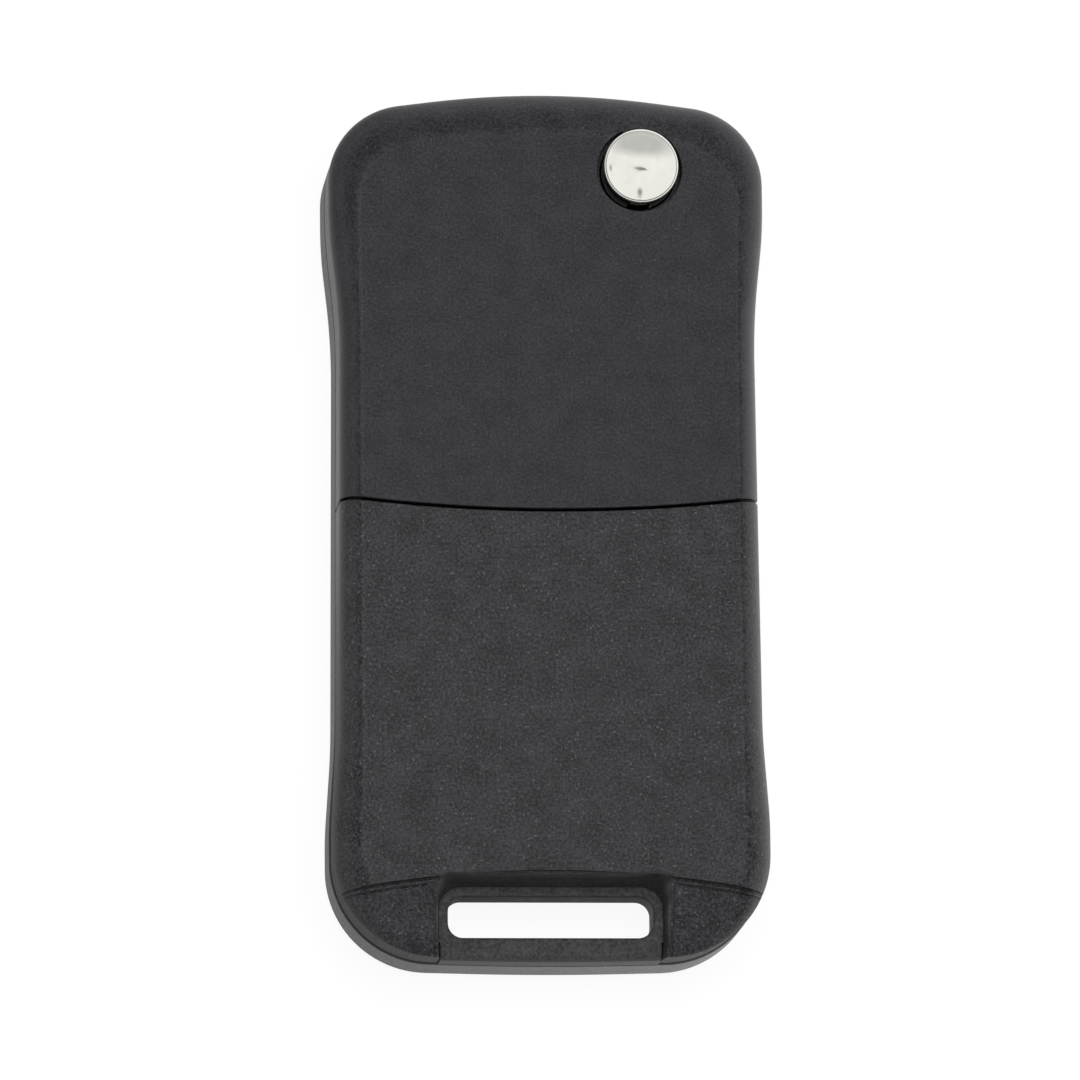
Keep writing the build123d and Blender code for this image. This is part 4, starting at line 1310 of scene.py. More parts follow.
@dataclass(frozen=True)
class BackShell:
    """Upper back of the case, with the release button's hole and the hub's bearing."""

    case: CaseShape
    hole: float = 3.68
    hole_lip: float = 0.1
    groove: float = 4.85
    journal: float = 4.28
    bearing: float = 6.05
    bearing_low: float = 10.4
    seat: float = 13.1
    boss: float = 3.4
    dowel: float = 1.8
    dowel_depth: float = 3.0
    bearing_root: float = 0.3
    boss_root: float = 0.7

    def build(self, wardrobe: Wardrobe) -> None:
        """Carve the shell and dress it.

        Args:
            wardrobe: Gives it its finish.
        """
        case = self.case
        x, y = case.pivot
        bearing = rod(self.bearing, self.bearing_low, case.ceiling_z + self.bearing_root, case.pivot)
        groove = rod(self.groove, 0, self.seat, case.pivot)
        journal = rod(self.journal, 0, case.ceiling_z, case.pivot)
        places = case.dowels
        root = case.ceiling_z + self.boss_root
        bosses = [post(px, py, case.back_start, root, self.boss) for px, py in places]
        low = case.front_top - self.dowel_depth
        pegs = [post(px, py, low, case.back_start + 1, self.dowel) for px, py in places]
        shell = Carving("back_shell_outer", case.upper_body())
        shell.cut(case.seam_groove()).keep(case.beside_seam(1)).cut(case.upper_cavity())
        shell.join(Carving("bearing", bearing).keep(case.upper_body())).cut(groove, journal)
        shell.join(*bosses).cut(case.blade_slot(), case.slot_lips())
        shell.cut(straight_flare(x, y, self.hole, 0, case.panel_z, self.hole_lip)).join(*pegs)
        wardrobe.dress(smooth(shell.thing), "case_black", "case", ("back_shell",))


@dataclass(frozen=True)
class BatteryCover:
    """Lower back of the case, stepped down to its corner pads and notched round the bar."""

    case: CaseShape
    foot: float = 10.92
    blend: float = 0.8
    blend_run: float = 0.6
    least_blend: float = 0.02
    first_strip: float = -38.6
    strip: float = 0.35
    over: float = 0.03
    rim: float = 0.22
    rim_end: float = -39.5
    rim_down: float = 0.6
    line_width: float = 0.2
    line_depth: float = 0.26
    second_line: float = 0.42
    split_area: float = 20.0

    def pads(self, extra: float) -> Carving:
        """Solid under the pads: the stepped-down body, its top brought down to the slope.

        A point of the shoulder gets the smooth lesser of its height a and the slope s:
        a h + s (1 - h) - k h (1 - h), with h = 1/2 + (s - a) / 2k held between 0 and 1.

        Args:
            extra: How far the outline is let out.

        Returns:
            The solid.
        """
        case = self.case
        body = Carving("pads", case.upper_body(case.step_depth, extra))
        mesh = body.thing.data
        with opened(mesh) as shell:
            for y in np.arange(self.first_strip, case.step_y + 0.1, self.strip):
                everything = shell.verts[:] + shell.edges[:] + shell.faces[:]
                bmesh.ops.bisect_plane(shell, geom=everything, plane_co=(0, y * MM, 0), plane_no=(0, 1, 0))
        points = read_points(mesh) / MM
        level = case.panel_z - case.step_depth
        slope, height = case.pad_level(points[:, 1]), points[:, 2]
        k = self.blend * np.clip((level - height) / self.blend_run, self.least_blend, 1)
        h = np.clip(0.5 + (slope - height) / (2 * k), 0, 1)
        lesser = height * h + slope * (1 - h) - k * h * (1 - h)
        points[:, 2] = np.where(height > case.back_start + 1, lesser, height)
        mesh.vertices.foreach_set("co", (points * MM).ravel())
        return body

    def foot_line(self, inset: float) -> Carving:
        """Thin ring along the foot of the step.

        Args:
            inset: How far it is drawn in from the step.

        Returns:
            The ring.
        """
        case = self.case
        line = Carving("foot_line", prism(case.pad_disc(inset), case.back_start + 1, case.panel_z + 1))
        return line.cut(prism(case.pad_disc(inset + self.line_width), case.back_start, case.panel_z + 2))

    def step_groove(self) -> Carving:
        """Two fine grooves along the foot of the step, cut to a depth under the pads.

        Returns:
            The tool.
        """
        lines = self.foot_line(0).join(self.foot_line(self.second_line))
        under = self.pads(self.over)
        points = read_points(under.thing.data)
        points[:, 2] -= self.line_depth * MM
        under.thing.data.vertices.foreach_set("co", points.ravel())
        return lines.cut(under)

    def rim_bead(self) -> Solid:
        """Bead that softens the recess's rim, carried along it at the height of the back.

        Returns:
            The tool.
        """
        case = self.case
        out = (case.panel_z - case.web_high) * case.recess_slope
        half, top, corner = case.recess_half + out, case.recess_end + out, case.rim_corner
        loop = case.notch(out, corner, 12)[1:]
        start = np.linspace([half, self.rim_end], [half, top - corner], 24)[:-1]
        line = np.concatenate([start, loop[1:], start[::-1] * [-1, 1]])
        along = unit_steps(line)
        outward = np.column_stack([along[:, 1], -along[:, 0], np.zeros(len(line))])
        above = line[:, 1] > case.step_y - self.rim_down
        height = np.where(above, case.panel_z, case.pad_level(line[:, 1]))
        down = np.broadcast_to(np.array([0.0, 0.0, -1.0]), outward.shape)
        inset, rise = quarter(self.rim, 5)
        section = np.concatenate([
            [[-OVER, -OVER], [self.rim, -OVER]], np.column_stack([inset, rise]), [[-OVER, self.rim]]
        ])
        return carried(np.column_stack([line, height]), outward, down, section)

    def build(self, wardrobe: Wardrobe) -> None:
        """Carve the cover and dress it.

        Args:
            wardrobe: Gives it its finish.
        """
        case = self.case
        above = Carving("above_pads", prism(case.pad_disc(), case.back_start + 1, 30))
        above.cut(self.pads(self.over))
        hollow = Carving("hollow", case.upper_cavity())
        low = case.panel_z - case.step_depth - case.wall
        far_y = case.step_y - FAR
        far_z = float(case.pad_level(np.array(far_y))) - case.wall
        section = np.array([[FAR, -FAR], [FAR, low], [case.step_y, low], [far_y, far_z], [far_y, -FAR]])
        ends = np.array([[-FAR, 0, 0], [FAR, 0, 0]])
        across, up = (np.array([axis] * 2) for axis in ([0, 1, 0], [0, 0, 1]))
        wedge = carried(ends, across, up, section)
        hollow.keep(wedge).cut(case.recess(case.wall, self.foot))
        cover = Carving("battery_cover_outer", case.upper_body())
        cover.cut(case.seam_groove()).keep(case.beside_seam(-1)).cut(above, hollow)
        cover.cut(case.recess(0, self.foot), self.rim_bead(), self.step_groove())
        over_bar = (0, self.foot + 0.01)
        cover.cut(block((-case.recess_half, case.recess_half), (-FAR, case.recess_end), over_bar))
        cover.cut(case.blade_slot(), case.slot_lips())
        thing = smooth(cover.thing, split=self.split_area)
        wardrobe.dress(thing, "cover_black", "cover", ("battery_cover",))


@dataclass(frozen=True)
class Keypad:
    """Places and sizes that the buttons and their windows share."""

    names: tuple[str, ...] = ("lock", "unlock", "trunk")
    first_y: float = 17.0
    pitch: float = 13.6
    length: float = 21.0
    width: float = 10.4
    corner: float = 3.6
    gap: float = 0.18

    def y(self, index: int) -> float:
        """Place of a button along the case."""
        return self.first_y - self.pitch * index

    def loop(self, index: int, grow: float) -> np.ndarray:
        """Plan loop of a button, let out all round."""
        centre = (0.0, self.y(index))
        return rounded_rectangle(centre, self.length + 2 * grow, self.width + 2 * grow, self.corner + grow)


@dataclass(frozen=True)
class FrontShell:
    """Button side of the case: a tray with round lower edges, windows, posts and the hub's socket."""

    case: CaseShape
    keypad: Keypad
    edge: float = 2.0
    lip: float = 0.3
    window_lip: float = 0.22
    socket: float = 4.08
    socket_wall: float = 1.2
    socket_top: float = 4.3
    board_z: float = 4.6
    post_width: float = 2.4
    posts: tuple[Spot, ...] = (
        (-13.4, -25.6), (-13.4, -2.35), (-13.4, 20.9),
        (13.3, -25.6), (13.3, -2.35), (13.3, 20.9), (5.9, -25.6)
    )
    screw: Spot = (13.2, -33.0)
    screw_width: float = 4.0
    lamp: Spot = (-7.0, 27.4)
    lamp_hole: float = 1.15
    boss: float = 3.4
    dowel: float = 1.9
    dowel_depth: float = 3.05

    def build(self, wardrobe: Wardrobe) -> None:
        """Carve the shell and dress it.

        Args:
            wardrobe: Gives it its finish.
        """
        case, keypad, top = self.case, self.keypad, self.case.front_top
        low_in, low_rise = quarter(self.edge, 14)
        top_in, top_rise = quarter(self.lip, 5)
        heights = np.concatenate([low_rise, top - top_rise[::-1]])
        loops = [case.outline.inset(step).loop() for step in low_in]
        loops += [case.parted(step) for step in top_in[::-1]]
        tray = rising(loops, heights.tolist())
        hollow = Carving("hollow", prism(case.outline.inset(case.wall).loop(), case.wall, top + 1))
        hollow.cut(case.front_recess(case.wall))
        shell = Carving("front_shell_outer", tray).cut(hollow, case.front_recess(0))
        floor = case.wall / 2
        shell.join(*[post(x, y, floor, self.board_z, self.post_width) for x, y in self.posts])
        shell.join(*[post(x, y, floor, top, self.boss) for x, y in case.dowels])
        x, y = self.screw
        shell.join(*[post(side * x, y, floor, case.web_low, self.screw_width) for side in (-1, 1)])
        wall = self.socket + self.socket_wall
        shell.join(rod(wall, floor, self.socket_top, case.pivot))
        shell.cut(rod(self.socket, case.wall, top + 5, case.pivot))
        shell.cut(case.blade_slot(), case.slot_lips())
        for index in range(len(keypad.names)):
            window = lipped(lambda grow: keypad.loop(index, keypad.gap + grow), 0, case.wall, self.window_lip)
            shell.cut(window)
        shell.cut(rod(self.lamp_hole, -1, case.wall + 1, self.lamp, 40))
        shell.cut(*[post(x, y, top - self.dowel_depth, top + 5, self.dowel) for x, y in case.dowels])
        wardrobe.dress(smooth(shell.thing), "front_black", "case", ("front_shell",))


@dataclass(frozen=True)
class RingInsert:
    """Web with the key-ring slot, and the round-edged bar that closes the case's end."""

    case: CaseShape
    gap: float = 0.12
    start_y: float = -29.9
    round: float = 0.75
    slot_y: float = -34.15
    slot_length: float = 17.8
    slot_width: float = 3.55
    slot_corner: float = 1.3
    slot_lip: float = 0.32
    screw: Spot = (13.2, -33.0)
    screw_hole: float = 1.06

    def slot(self, grow: float) -> np.ndarray:
        """Plan loop of the key-ring slot, let out all round."""
        length, width = self.slot_length + 2 * grow, self.slot_width + 2 * grow
        return rounded_rectangle((0, self.slot_y), length, width, self.slot_corner + grow, 14)

    def build(self, wardrobe: Wardrobe) -> None:
        """Carve the insert and dress it.

        Args:
            wardrobe: Gives it its finish.
        """
        case = self.case
        low, high = case.web_low, case.web_high
        half = case.recess_half - self.gap
        inside = case.outline.inset(case.wall + self.gap).loop()
        insert = Carving("ring_insert_outer", prism(inside, low, high)).keep(
            block((-FAR, FAR), (-FAR, self.start_y), (low - 1, high + 1))
        )
        low_in, low_rise = quarter(case.edge, 4)
        high_in, high_rise = quarter(self.round, 10)
        inset = np.concatenate([low_in, high_in[::-1]])
        heights = np.concatenate([case.back_start + low_rise, high - high_rise[::-1]])
        bar = Carving("bar", rising([case.outline.inset(step).loop() for step in inset], heights.tolist()))
        insert.join(bar.keep(block((-half, half), (-FAR, self.slot_y), (0, high + 1))))
        insert.cut(lipped(self.slot, low, high, self.slot_lip))
        x, y = self.screw
        insert.cut(*[rod(self.screw_hole, low - 1, high + 1, (side * x, y), 32) for side in (1, -1)])
        wardrobe.dress(smooth(insert.thing), "bar_black", "case", ("ring_insert",))


@dataclass(frozen=True)
class InsertScrews:
    """Two pan-head screws with cross recesses."""

    place: Spot = (13.2, -33.0)
    seat: float = 10.8
    head: float = 1.9
    height: float = 0.9
    shank: float = 1.0
    length: float = 7.0
    cross: Sides = (1.15, 0.32)
    cross_depth: float = 0.5
    head_rim: float = 0.25
    head_round: float = 0.6
    tip: Sides = (0.3, 1.0)

    def build(self, wardrobe: Wardrobe) -> None:
        """Turn both screws, cut their recesses and dress them as one piece.

        Args:
            wardrobe: Gives it its finish.
        """
        angle = np.linspace(0, np.pi / 2, 9)
        across = self.head * np.cos(angle) ** self.head_round
        top = self.seat + self.height
        rim, rise = self.seat + self.head_rim, self.height - self.head_rim
        dome = np.column_stack([across, rim + rise * np.sin(angle)])
        low, (blunt, taper) = self.seat - self.length, self.tip
        tip = [[blunt, low], [self.shank, low + taper]]
        neck = [[self.shank, self.seat], [self.head, self.seat]]
        profile = np.concatenate([tip, neck, dome[:-1], [[0.05, top]]])
        x, y = self.place
        both = lathe(profile, (-x, y), 48).beside(lathe(profile, (x, y), 48))
        screws = Carving("insert_screws_turned", both)
        for side in (-x, x):
            screws.cut(*cross((side, y), *self.cross, (top - self.cross_depth, top + 1)))
        wardrobe.dress(smooth(screws.thing), "spring_steel", "case", ("insert_screws",))


@dataclass(frozen=True)
class ReleaseButton:
    """Polished domed cap on a hollow barrel with two lugs."""

    pivot: Spot
    radius: float = 3.28
    bore: float = 2.4
    bottom: float = 6.3
    ceiling: float = 15.4
    top: float = 17.6
    dome: float = 12.0
    round: float = 0.36
    lug_reach: float = 4.7
    lug_width: float = 2.0
    lug_root: float = 0.2
    lug_z: Range = (11.3, 12.7)

    def build(self, wardrobe: Wardrobe) -> None:
        """Turn the cap and barrel and join the lugs.

        The dome is a sphere of radius R: its height is R - sqrt(R^2 - r^2) under the top at radius r,
        and a small round of its own carries it over into the barrel.

        Args:
            wardrobe: Gives it its finish.
        """
        reach = self.radius - self.round
        across = np.linspace(POLE, reach, 24)
        dome = np.column_stack([across, self.top - self.dome + np.sqrt(self.dome**2 - across**2)])
        turn = np.linspace(math.pi / 2 - math.asin(reach / self.dome), 0, 14)[1:]
        middle = dome[-1] - self.round * np.array([math.cos(turn[0]), math.sin(turn[0])])
        edge = middle + self.round * np.column_stack([np.cos(turn), np.sin(turn)])
        edge[:, 0] = np.minimum(edge[:, 0] * self.radius / edge[-1, 0], self.radius)
        dome = np.concatenate([dome, edge])[::-1]
        under = [[self.bore, self.ceiling], [self.bore, self.bottom], [self.radius, self.bottom]]
        profile = np.concatenate([[[POLE, self.ceiling]], under, dome])
        button = Carving("release_button_cap", lathe(profile, self.pivot, 128))
        x, y = self.pivot
        half = self.lug_width / 2
        lugs = Carving("lugs", block((x - half, x + half), (y - FAR, y + FAR), self.lug_z))
        lugs.keep(rod(self.lug_reach, 0, 20, self.pivot))
        lugs.cut(rod(self.bore + self.lug_root, 0, 20, self.pivot))
        cap = smooth(button.join(lugs).thing, sharp=40)
        wardrobe.dress(cap, "button_chrome", "release", ("release_button",))


def ribbon(path: np.ndarray, width: float, low: float, high: float) -> Solid:
    """Raised stroke along a plan path, with square ends.

    Args:
        path: Points of shape (points, 2).
        width: Width of the stroke.
        low: Its lower height.
        high: Its upper height.

    Returns:
        The stroke.
    """
    along = unit_steps(path)
    side = np.column_stack([-along[:, 1], along[:, 0]]) * width / 2
    return prism(np.concatenate([path - side, (path + side)[::-1]]), low, high)


def arc(x: float, y: float, radius: float, start: float, end: float, steps: int = 24) -> np.ndarray:
    """Plan points of an arc between two angles in degrees."""
    angle = np.radians(np.linspace(start, end, steps + 1))
    return np.column_stack([x + radius * np.cos(angle), y + radius * np.sin(angle)])


@dataclass(frozen=True)
class Signs:
    """Generic signs of the three buttons, printed on their faces."""

    stroke: float = 0.42
    size: float = 1.9

    def padlock(self, y: float, shift: float, lift: float, low: float, high: float) -> Carving:
        """Padlock: a ring for the body's outline, a keyhole dot and a shackle.

        Args:
            y: Place of the button along the case.
            shift: How far the shackle stands to the side.
            lift: How far it is raised.
            low: Lower height of the print.
            high: Its upper height.

        Returns:
            The sign.
        """
        s, thick = self.size, 2 * self.stroke
        middle, length, width = (0, y - 0.55 * s), 2.2 * s, 1.6 * s
        body = Carving("body", prism(rounded_rectangle(middle, length, width, 0.3 * s), low, high))
        inner = rounded_rectangle(middle, length - thick, width - thick, 0.16 * s)
        body.cut(prism(inner, low - 1, high + 1))
        bend = arc(shift, y + 0.55 * s + lift, 0.68 * s, 0, 180)
        foot = y + 0.25 * s
        ends = [[[shift + 0.68 * s, foot + (lift if shift else 0)]], bend, [[shift - 0.68 * s, foot]]]
        body.join(ribbon(np.concatenate(ends), self.stroke, low, high))
        return body.join(prism(arc(*middle, 0.24 * s, 0, 345), low, high))

    def open_boot(self, y: float, low: float, high: float) -> Carving:
        """Side view of a car with its boot lid raised: body line, two wheels and the lid.

        Args:
            y: Place of the button along the case.
            low: Lower height of the print.
            high: Its upper height.

        Returns:
            The sign.
        """
        s = self.size
        line = np.array([
            [1.7, -0.5], [1.9, -0.35], [1.85, 0.1], [1.1, 0.3], [0.6, 0.85], [-0.3, 0.9], [-0.75, 0.35],
            [-1.5, 0.25], [-1.75, 0.05], [-1.75, -0.45], [-1.55, -0.5]
        ]) * s + [0, y]
        car = Carving("car", ribbon(line, self.stroke, low, high))
        lid = np.array([[-0.8, 0.45], [-1.25, 0.85], [-1.75, 1.1]]) * s + [0, y]
        floor = np.array([[0.6, -0.5], [-0.5, -0.5]]) * s + [0, y]
        car.join(ribbon(lid, self.stroke, low, high), ribbon(floor, self.stroke, low, high))
        for x in (1.12, -1.02):
            wheel = Carving("wheel", prism(arc(x * s, y - 0.5 * s, 0.42 * s, 0, 350), low, high))
            wheel.cut(prism(arc(x * s, y - 0.5 * s, 0.42 * s - self.stroke, 0, 350), low - 1, high + 1))
            car.join(wheel)
        return car


@dataclass(frozen=True)
class PushButtons:
    """Soft caps in the front shell's windows, each with a flange, a pusher and its sign."""

    keypad: Keypad
    signs: Signs = Signs()
    face: float = 0.15
    edge: float = 0.55
    flange: Range = (1.45, 2.05)
    reach: float = 0.7
    hollow: float = 1.25
    hollow_inset: float = 1.8
    hollow_corner: float = 1.0
    flange_corner: float = 0.6
    pusher_root: float = 0.2
    pusher: float = 3.2
    pusher_top: float = 2.4
    ink: float = 0.04
    ink_bite: float = 0.02
    shackle_open: Spot = (0.55, 0.45)

    def cap(self, index: int) -> Carving:
        """Carve one cap.

        Args:
            index: Number of the button.

        Returns:
            The cap.
        """
        keypad, y = self.keypad, self.keypad.y(index)
        inset, rise = quarter(self.edge, 8)
        loops = [keypad.loop(index, -step) for step in inset] + [keypad.loop(index, 0)]
        name = f"{keypad.names[index]}_button_cap"
        cap = Carving(name, rising(loops, [*(self.face + rise).tolist(), self.flange[1]]))
        length, width = keypad.length + 2 * self.reach, keypad.width + 2 * self.reach
        cap.join(prism(rounded_rectangle((0, y), length, width, self.flange_corner), *self.flange))
        size = (keypad.length - 2 * self.hollow_inset, keypad.width - 2 * self.hollow_inset)
        cap.cut(prism(rounded_rectangle((0, y), *size, self.hollow_corner), self.hollow, 5))
        return cap.join(post(0, y, self.hollow - self.pusher_root, self.pusher_top, self.pusher))

    def build(self, wardrobe: Wardrobe) -> None:
        """Build the caps and their signs.

        Args:
            wardrobe: Gives it its finish.
        """
        low, high = self.face - self.ink, self.face + self.ink_bite
        for index, name in enumerate(self.keypad.names):
            body, y = f"{name}_key", self.keypad.y(index)
            cap = smooth(self.cap(index).thing)
            wardrobe.dress(cap, "button_rubber", body, (f"{name}_button",))
            if name == "trunk":
                sign = self.signs.open_boot(y, low, high)
            else:
                shackle = self.shackle_open if name == "unlock" else (0.0, 0.0)
                sign = self.signs.padlock(y, *shackle, low, high)
            sign.thing.name = f"{name}_sign"
            wardrobe.dress(smooth(sign.thing), "sign_print", body)


@dataclass(frozen=True)
class KeyBlade:
    """Flat blade with bevelled edges, a two-sided point and a wavy track milled into both sides."""

    pivot: Spot
    offset: float = 5.2
    width: float = 7.8
    low: float = 6.3
    thick: float = 2.2
    root: float = 4.03
    reach: float = 57.0
    tip: float = 3.4
    bevel: float = 0.28
    track_start: float = 15.0
    track_depth: float = 0.55
    track_width: float = 2.2
    wave: float = 1.1
    wavelength: float = 17.0
    pin_along: float = 7.0
    pin_hole: float = 1.03
    shoulder_round: float = 1.2
    nose_round: float = 0.5
    track_flare: Range = (-0.1, 0.12)

    def plan(self, inset: float) -> np.ndarray:
        """Plan loop of the blade, drawn in by a bevel.

        Args:
            inset: The bevel.

        Returns:
            The loop.
        """
        x, y = self.pivot
        inner = x + self.offset - self.width / 2 + inset
        outer = x + self.offset + self.width / 2 - inset
        middle, nose = x + self.offset, self.tip / 3 - inset / 2
        start, end = y - self.root, y - self.reach + inset
        shoulder, wide, narrow = y - self.reach + self.tip, self.shoulder_round, self.nose_round
        corners = np.array([
            [inner, shoulder, wide], [middle - nose, end, narrow], [middle + nose, end, narrow],
            [outer, shoulder, wide], [outer, start, 0.0], [inner, start, 0.0],
        ])
        return rounded_loop(corners, [6, 5, 5, 6, 0, 0])

    def track(self, low: float, high: float, narrow: float, wide: float) -> Solid:
        """Milling tool of the track.

        Its middle line stands wave sin(2 pi t / wavelength) off the blade's middle at run t.

        Args:
            low: Lower height.
            high: Upper height.
            narrow: How far its lower outline is let out.
            wide: How far its upper outline is let out.

        Returns:
            The tool.
        """
        x, y = self.pivot
        run = np.linspace(0, self.reach + 2 - self.track_start, 90)
        across = self.offset + self.wave * np.sin(2 * np.pi * run / self.wavelength)
        path = np.column_stack([x + across, y - self.track_start - run])
        along = unit_steps(path)
        side = np.column_stack([-along[:, 1], along[:, 0]])
        turn = np.linspace(0, np.pi, 14)[1:-1]
        loops = []
        for grow in (narrow, wide):
            half = self.track_width / 2 + grow
            cap = path[0] + half * (np.cos(turn)[:, None] * side[0] - np.sin(turn)[:, None] * along[0])
            loops.append(np.concatenate([path - side * half, (path + side * half)[::-1], cap]))
        return rising(loops, [low, high])

    def build(self, wardrobe: Wardrobe) -> None:
        """Mill the blade and dress it.

        Args:
            wardrobe: Gives it its finish.
        """
        high = self.low + self.thick
        inset = [self.bevel, 0.0, 0.0, self.bevel]
        heights = [self.low, self.low + self.bevel, high - self.bevel, high]
        blade = Carving("key_blade_milled", rising([self.plan(step) for step in inset], heights))
        depth, (narrow, wide) = self.track_depth, self.track_flare
        blade.cut(self.track(high - depth, high + 0.5, narrow, wide))
        blade.cut(self.track(self.low - 0.5, self.low + depth, wide, narrow))
        x, y = self.pivot
        blade.cut(rod(self.pin_hole, 0, 20, (x + self.offset, y - self.pin_along), 48))
        wardrobe.dress(smooth(blade.thing, sharp=25), "blade_steel", "blade", ("key_blade",))


@dataclass(frozen=True)
class CoinCell:
    """Coin cell with rolled rims and a plus sign pressed into its can."""

    centre: Spot = (-4.6, -14.2)
    low: float = 8.3
    high: float = 11.5
    radius: float = 10.0
    cap: float = 8.7
    step: float = 0.4
    rim: float = 0.3
    plus: Sides = (2.2, 0.55)
    plus_depth: float = 0.05
    chamfer: float = 0.25
    dish: float = 0.06
    dish_wall: Range = (1.2, 1.4)

    def build(self, wardrobe: Wardrobe) -> None:
        """Turn the cell and press its sign.

        Args:
            wardrobe: Gives it its finish.
        """
        inset, rise = quarter(self.rim, 6)
        upper = np.column_stack([self.radius - inset[::-1], self.high - rise[::-1]])
        lower = np.column_stack([self.radius - inset, self.low + self.step + rise])
        crimp = [[self.cap, self.low + self.step]]
        cap = [[POLE, self.low], [self.cap - self.chamfer, self.low], [self.cap, self.low + self.chamfer]]
        face, (outer, inner) = self.high - self.dish, self.dish_wall
        ring = [[self.radius - outer, self.high], [self.radius - inner, face], [POLE, face]]
        profile = np.concatenate([cap, crimp, lower, upper, ring])
        cell = Carving("coin_cell_can", lathe(profile, self.centre, 128))
        cell.cut(*cross(self.centre, *self.plus, (face - self.plus_depth, self.high + 1)))
        wardrobe.dress(smooth(cell.thing), "cell_steel", "case", ("coin_cell",))


@dataclass(frozen=True)
class FlipSpring:
    """Coil spring under the release button, with closed ends."""

    pivot: Spot
    low: float = 3.43
    high: float = 15.37
    radius: float = 1.75
    wire: float = 0.6
    turns: float = 3.6
    end_rise: float = 0.63
    travel: float = 2.5

    def build(self, wardrobe: Wardrobe) -> None:
        """Carry a round wire along the coil.

        The angle goes up evenly. The height goes up by little more than the wire in the first and the
        last turn, and evenly between them.

        Args:
            wardrobe: Gives it its finish.
        """
        turn = np.linspace(0, self.turns + 2, 281)
        climb = self.high - self.low - self.wire
        stops = [0, 1, self.turns + 1, self.turns + 2]
        rise = np.interp(turn, stops, [0, self.end_rise, climb - self.end_rise, climb])
        angle = turn * math.tau
        out = np.column_stack([np.cos(angle), np.sin(angle), np.zeros(len(turn))])
        path = np.array([*self.pivot, self.low + self.wire / 2]) + out * self.radius
        path[:, 2] += rise
        along = unit_steps(path)
        round_wire = np.linspace(0, math.tau, 17)[:-1]
        section = self.wire / 2 * np.column_stack([np.cos(round_wire), np.sin(round_wire)])
        wire = carried(path, out, np.cross(along, out), section).as_object("flip_spring_wire")
        thing = wardrobe.dress(smooth(wire), "spring_steel", "blade", ("flip_spring",))
        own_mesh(thing)


@dataclass(frozen=True)
class ButtonDomes:
    """Silicone domes between the button caps and the board."""

    keypad: Keypad
    low: float = 2.4
    high: float = 4.6
    crown: float = 2.0
    base: float = 3.6
    edge: float = 0.2
    foot: float = 0.3
    travel: float = 0.6

    def build(self, wardrobe: Wardrobe) -> None:
        """Turn the domes: a flat crown, then a skirt whose radius follows a smooth step, t^2 (3 - 2 t).

        Args:
            wardrobe: Gives it its finish.
        """
        inset, rise = quarter(self.edge, 6)
        crown = np.column_stack([self.crown - inset, self.low + rise])
        t = np.linspace(0, 1, 14)[1:]
        flare = self.crown + (self.base - self.crown) * t**2 * (3 - 2 * t)
        drop = self.high - self.foot - self.low - self.edge
        skirt = np.column_stack([flare, self.low + self.edge + drop * t])
        ends = [[[POLE, self.low]], crown, skirt, [[self.base, self.high], [POLE, self.high]]]
        for index, name in enumerate(self.keypad.names):
            place = (0.0, self.keypad.y(index))
            dome = smooth(lathe(np.concatenate(ends), place, 64).as_object(f"{name}_dome_rubber"))
            wardrobe.dress(dome, "silicone", "case", (f"{name}_dome",))
            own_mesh(dome)


def boxes(centre: np.ndarray, size: np.ndarray) -> Solid:
    """Separate boxes from rows of centres and sides.

    Args:
        centre: Middles of shape (boxes, 3).
        size: Sides of shape (boxes, 3).

    Returns:
        The boxes as one mesh.
    """
    low, high = [[[x, y, z] for x, y in ((-1, -1), (1, -1), (1, 1), (-1, 1))] for z in (-1, 1)]
    sign = np.array(low + high)
    points = centre[:, None] + sign * size[:, None] / 2
    side = np.array([[0, 3, 2, 1], [4, 5, 6, 7], [0, 1, 5, 4], [1, 2, 6, 5], [2, 3, 7, 6], [3, 0, 4, 7]])
    faces = (np.arange(len(centre))[:, None, None] * 8 + side).reshape(-1, 4)
    return Solid(points.reshape(-1, 3), faces.tolist())


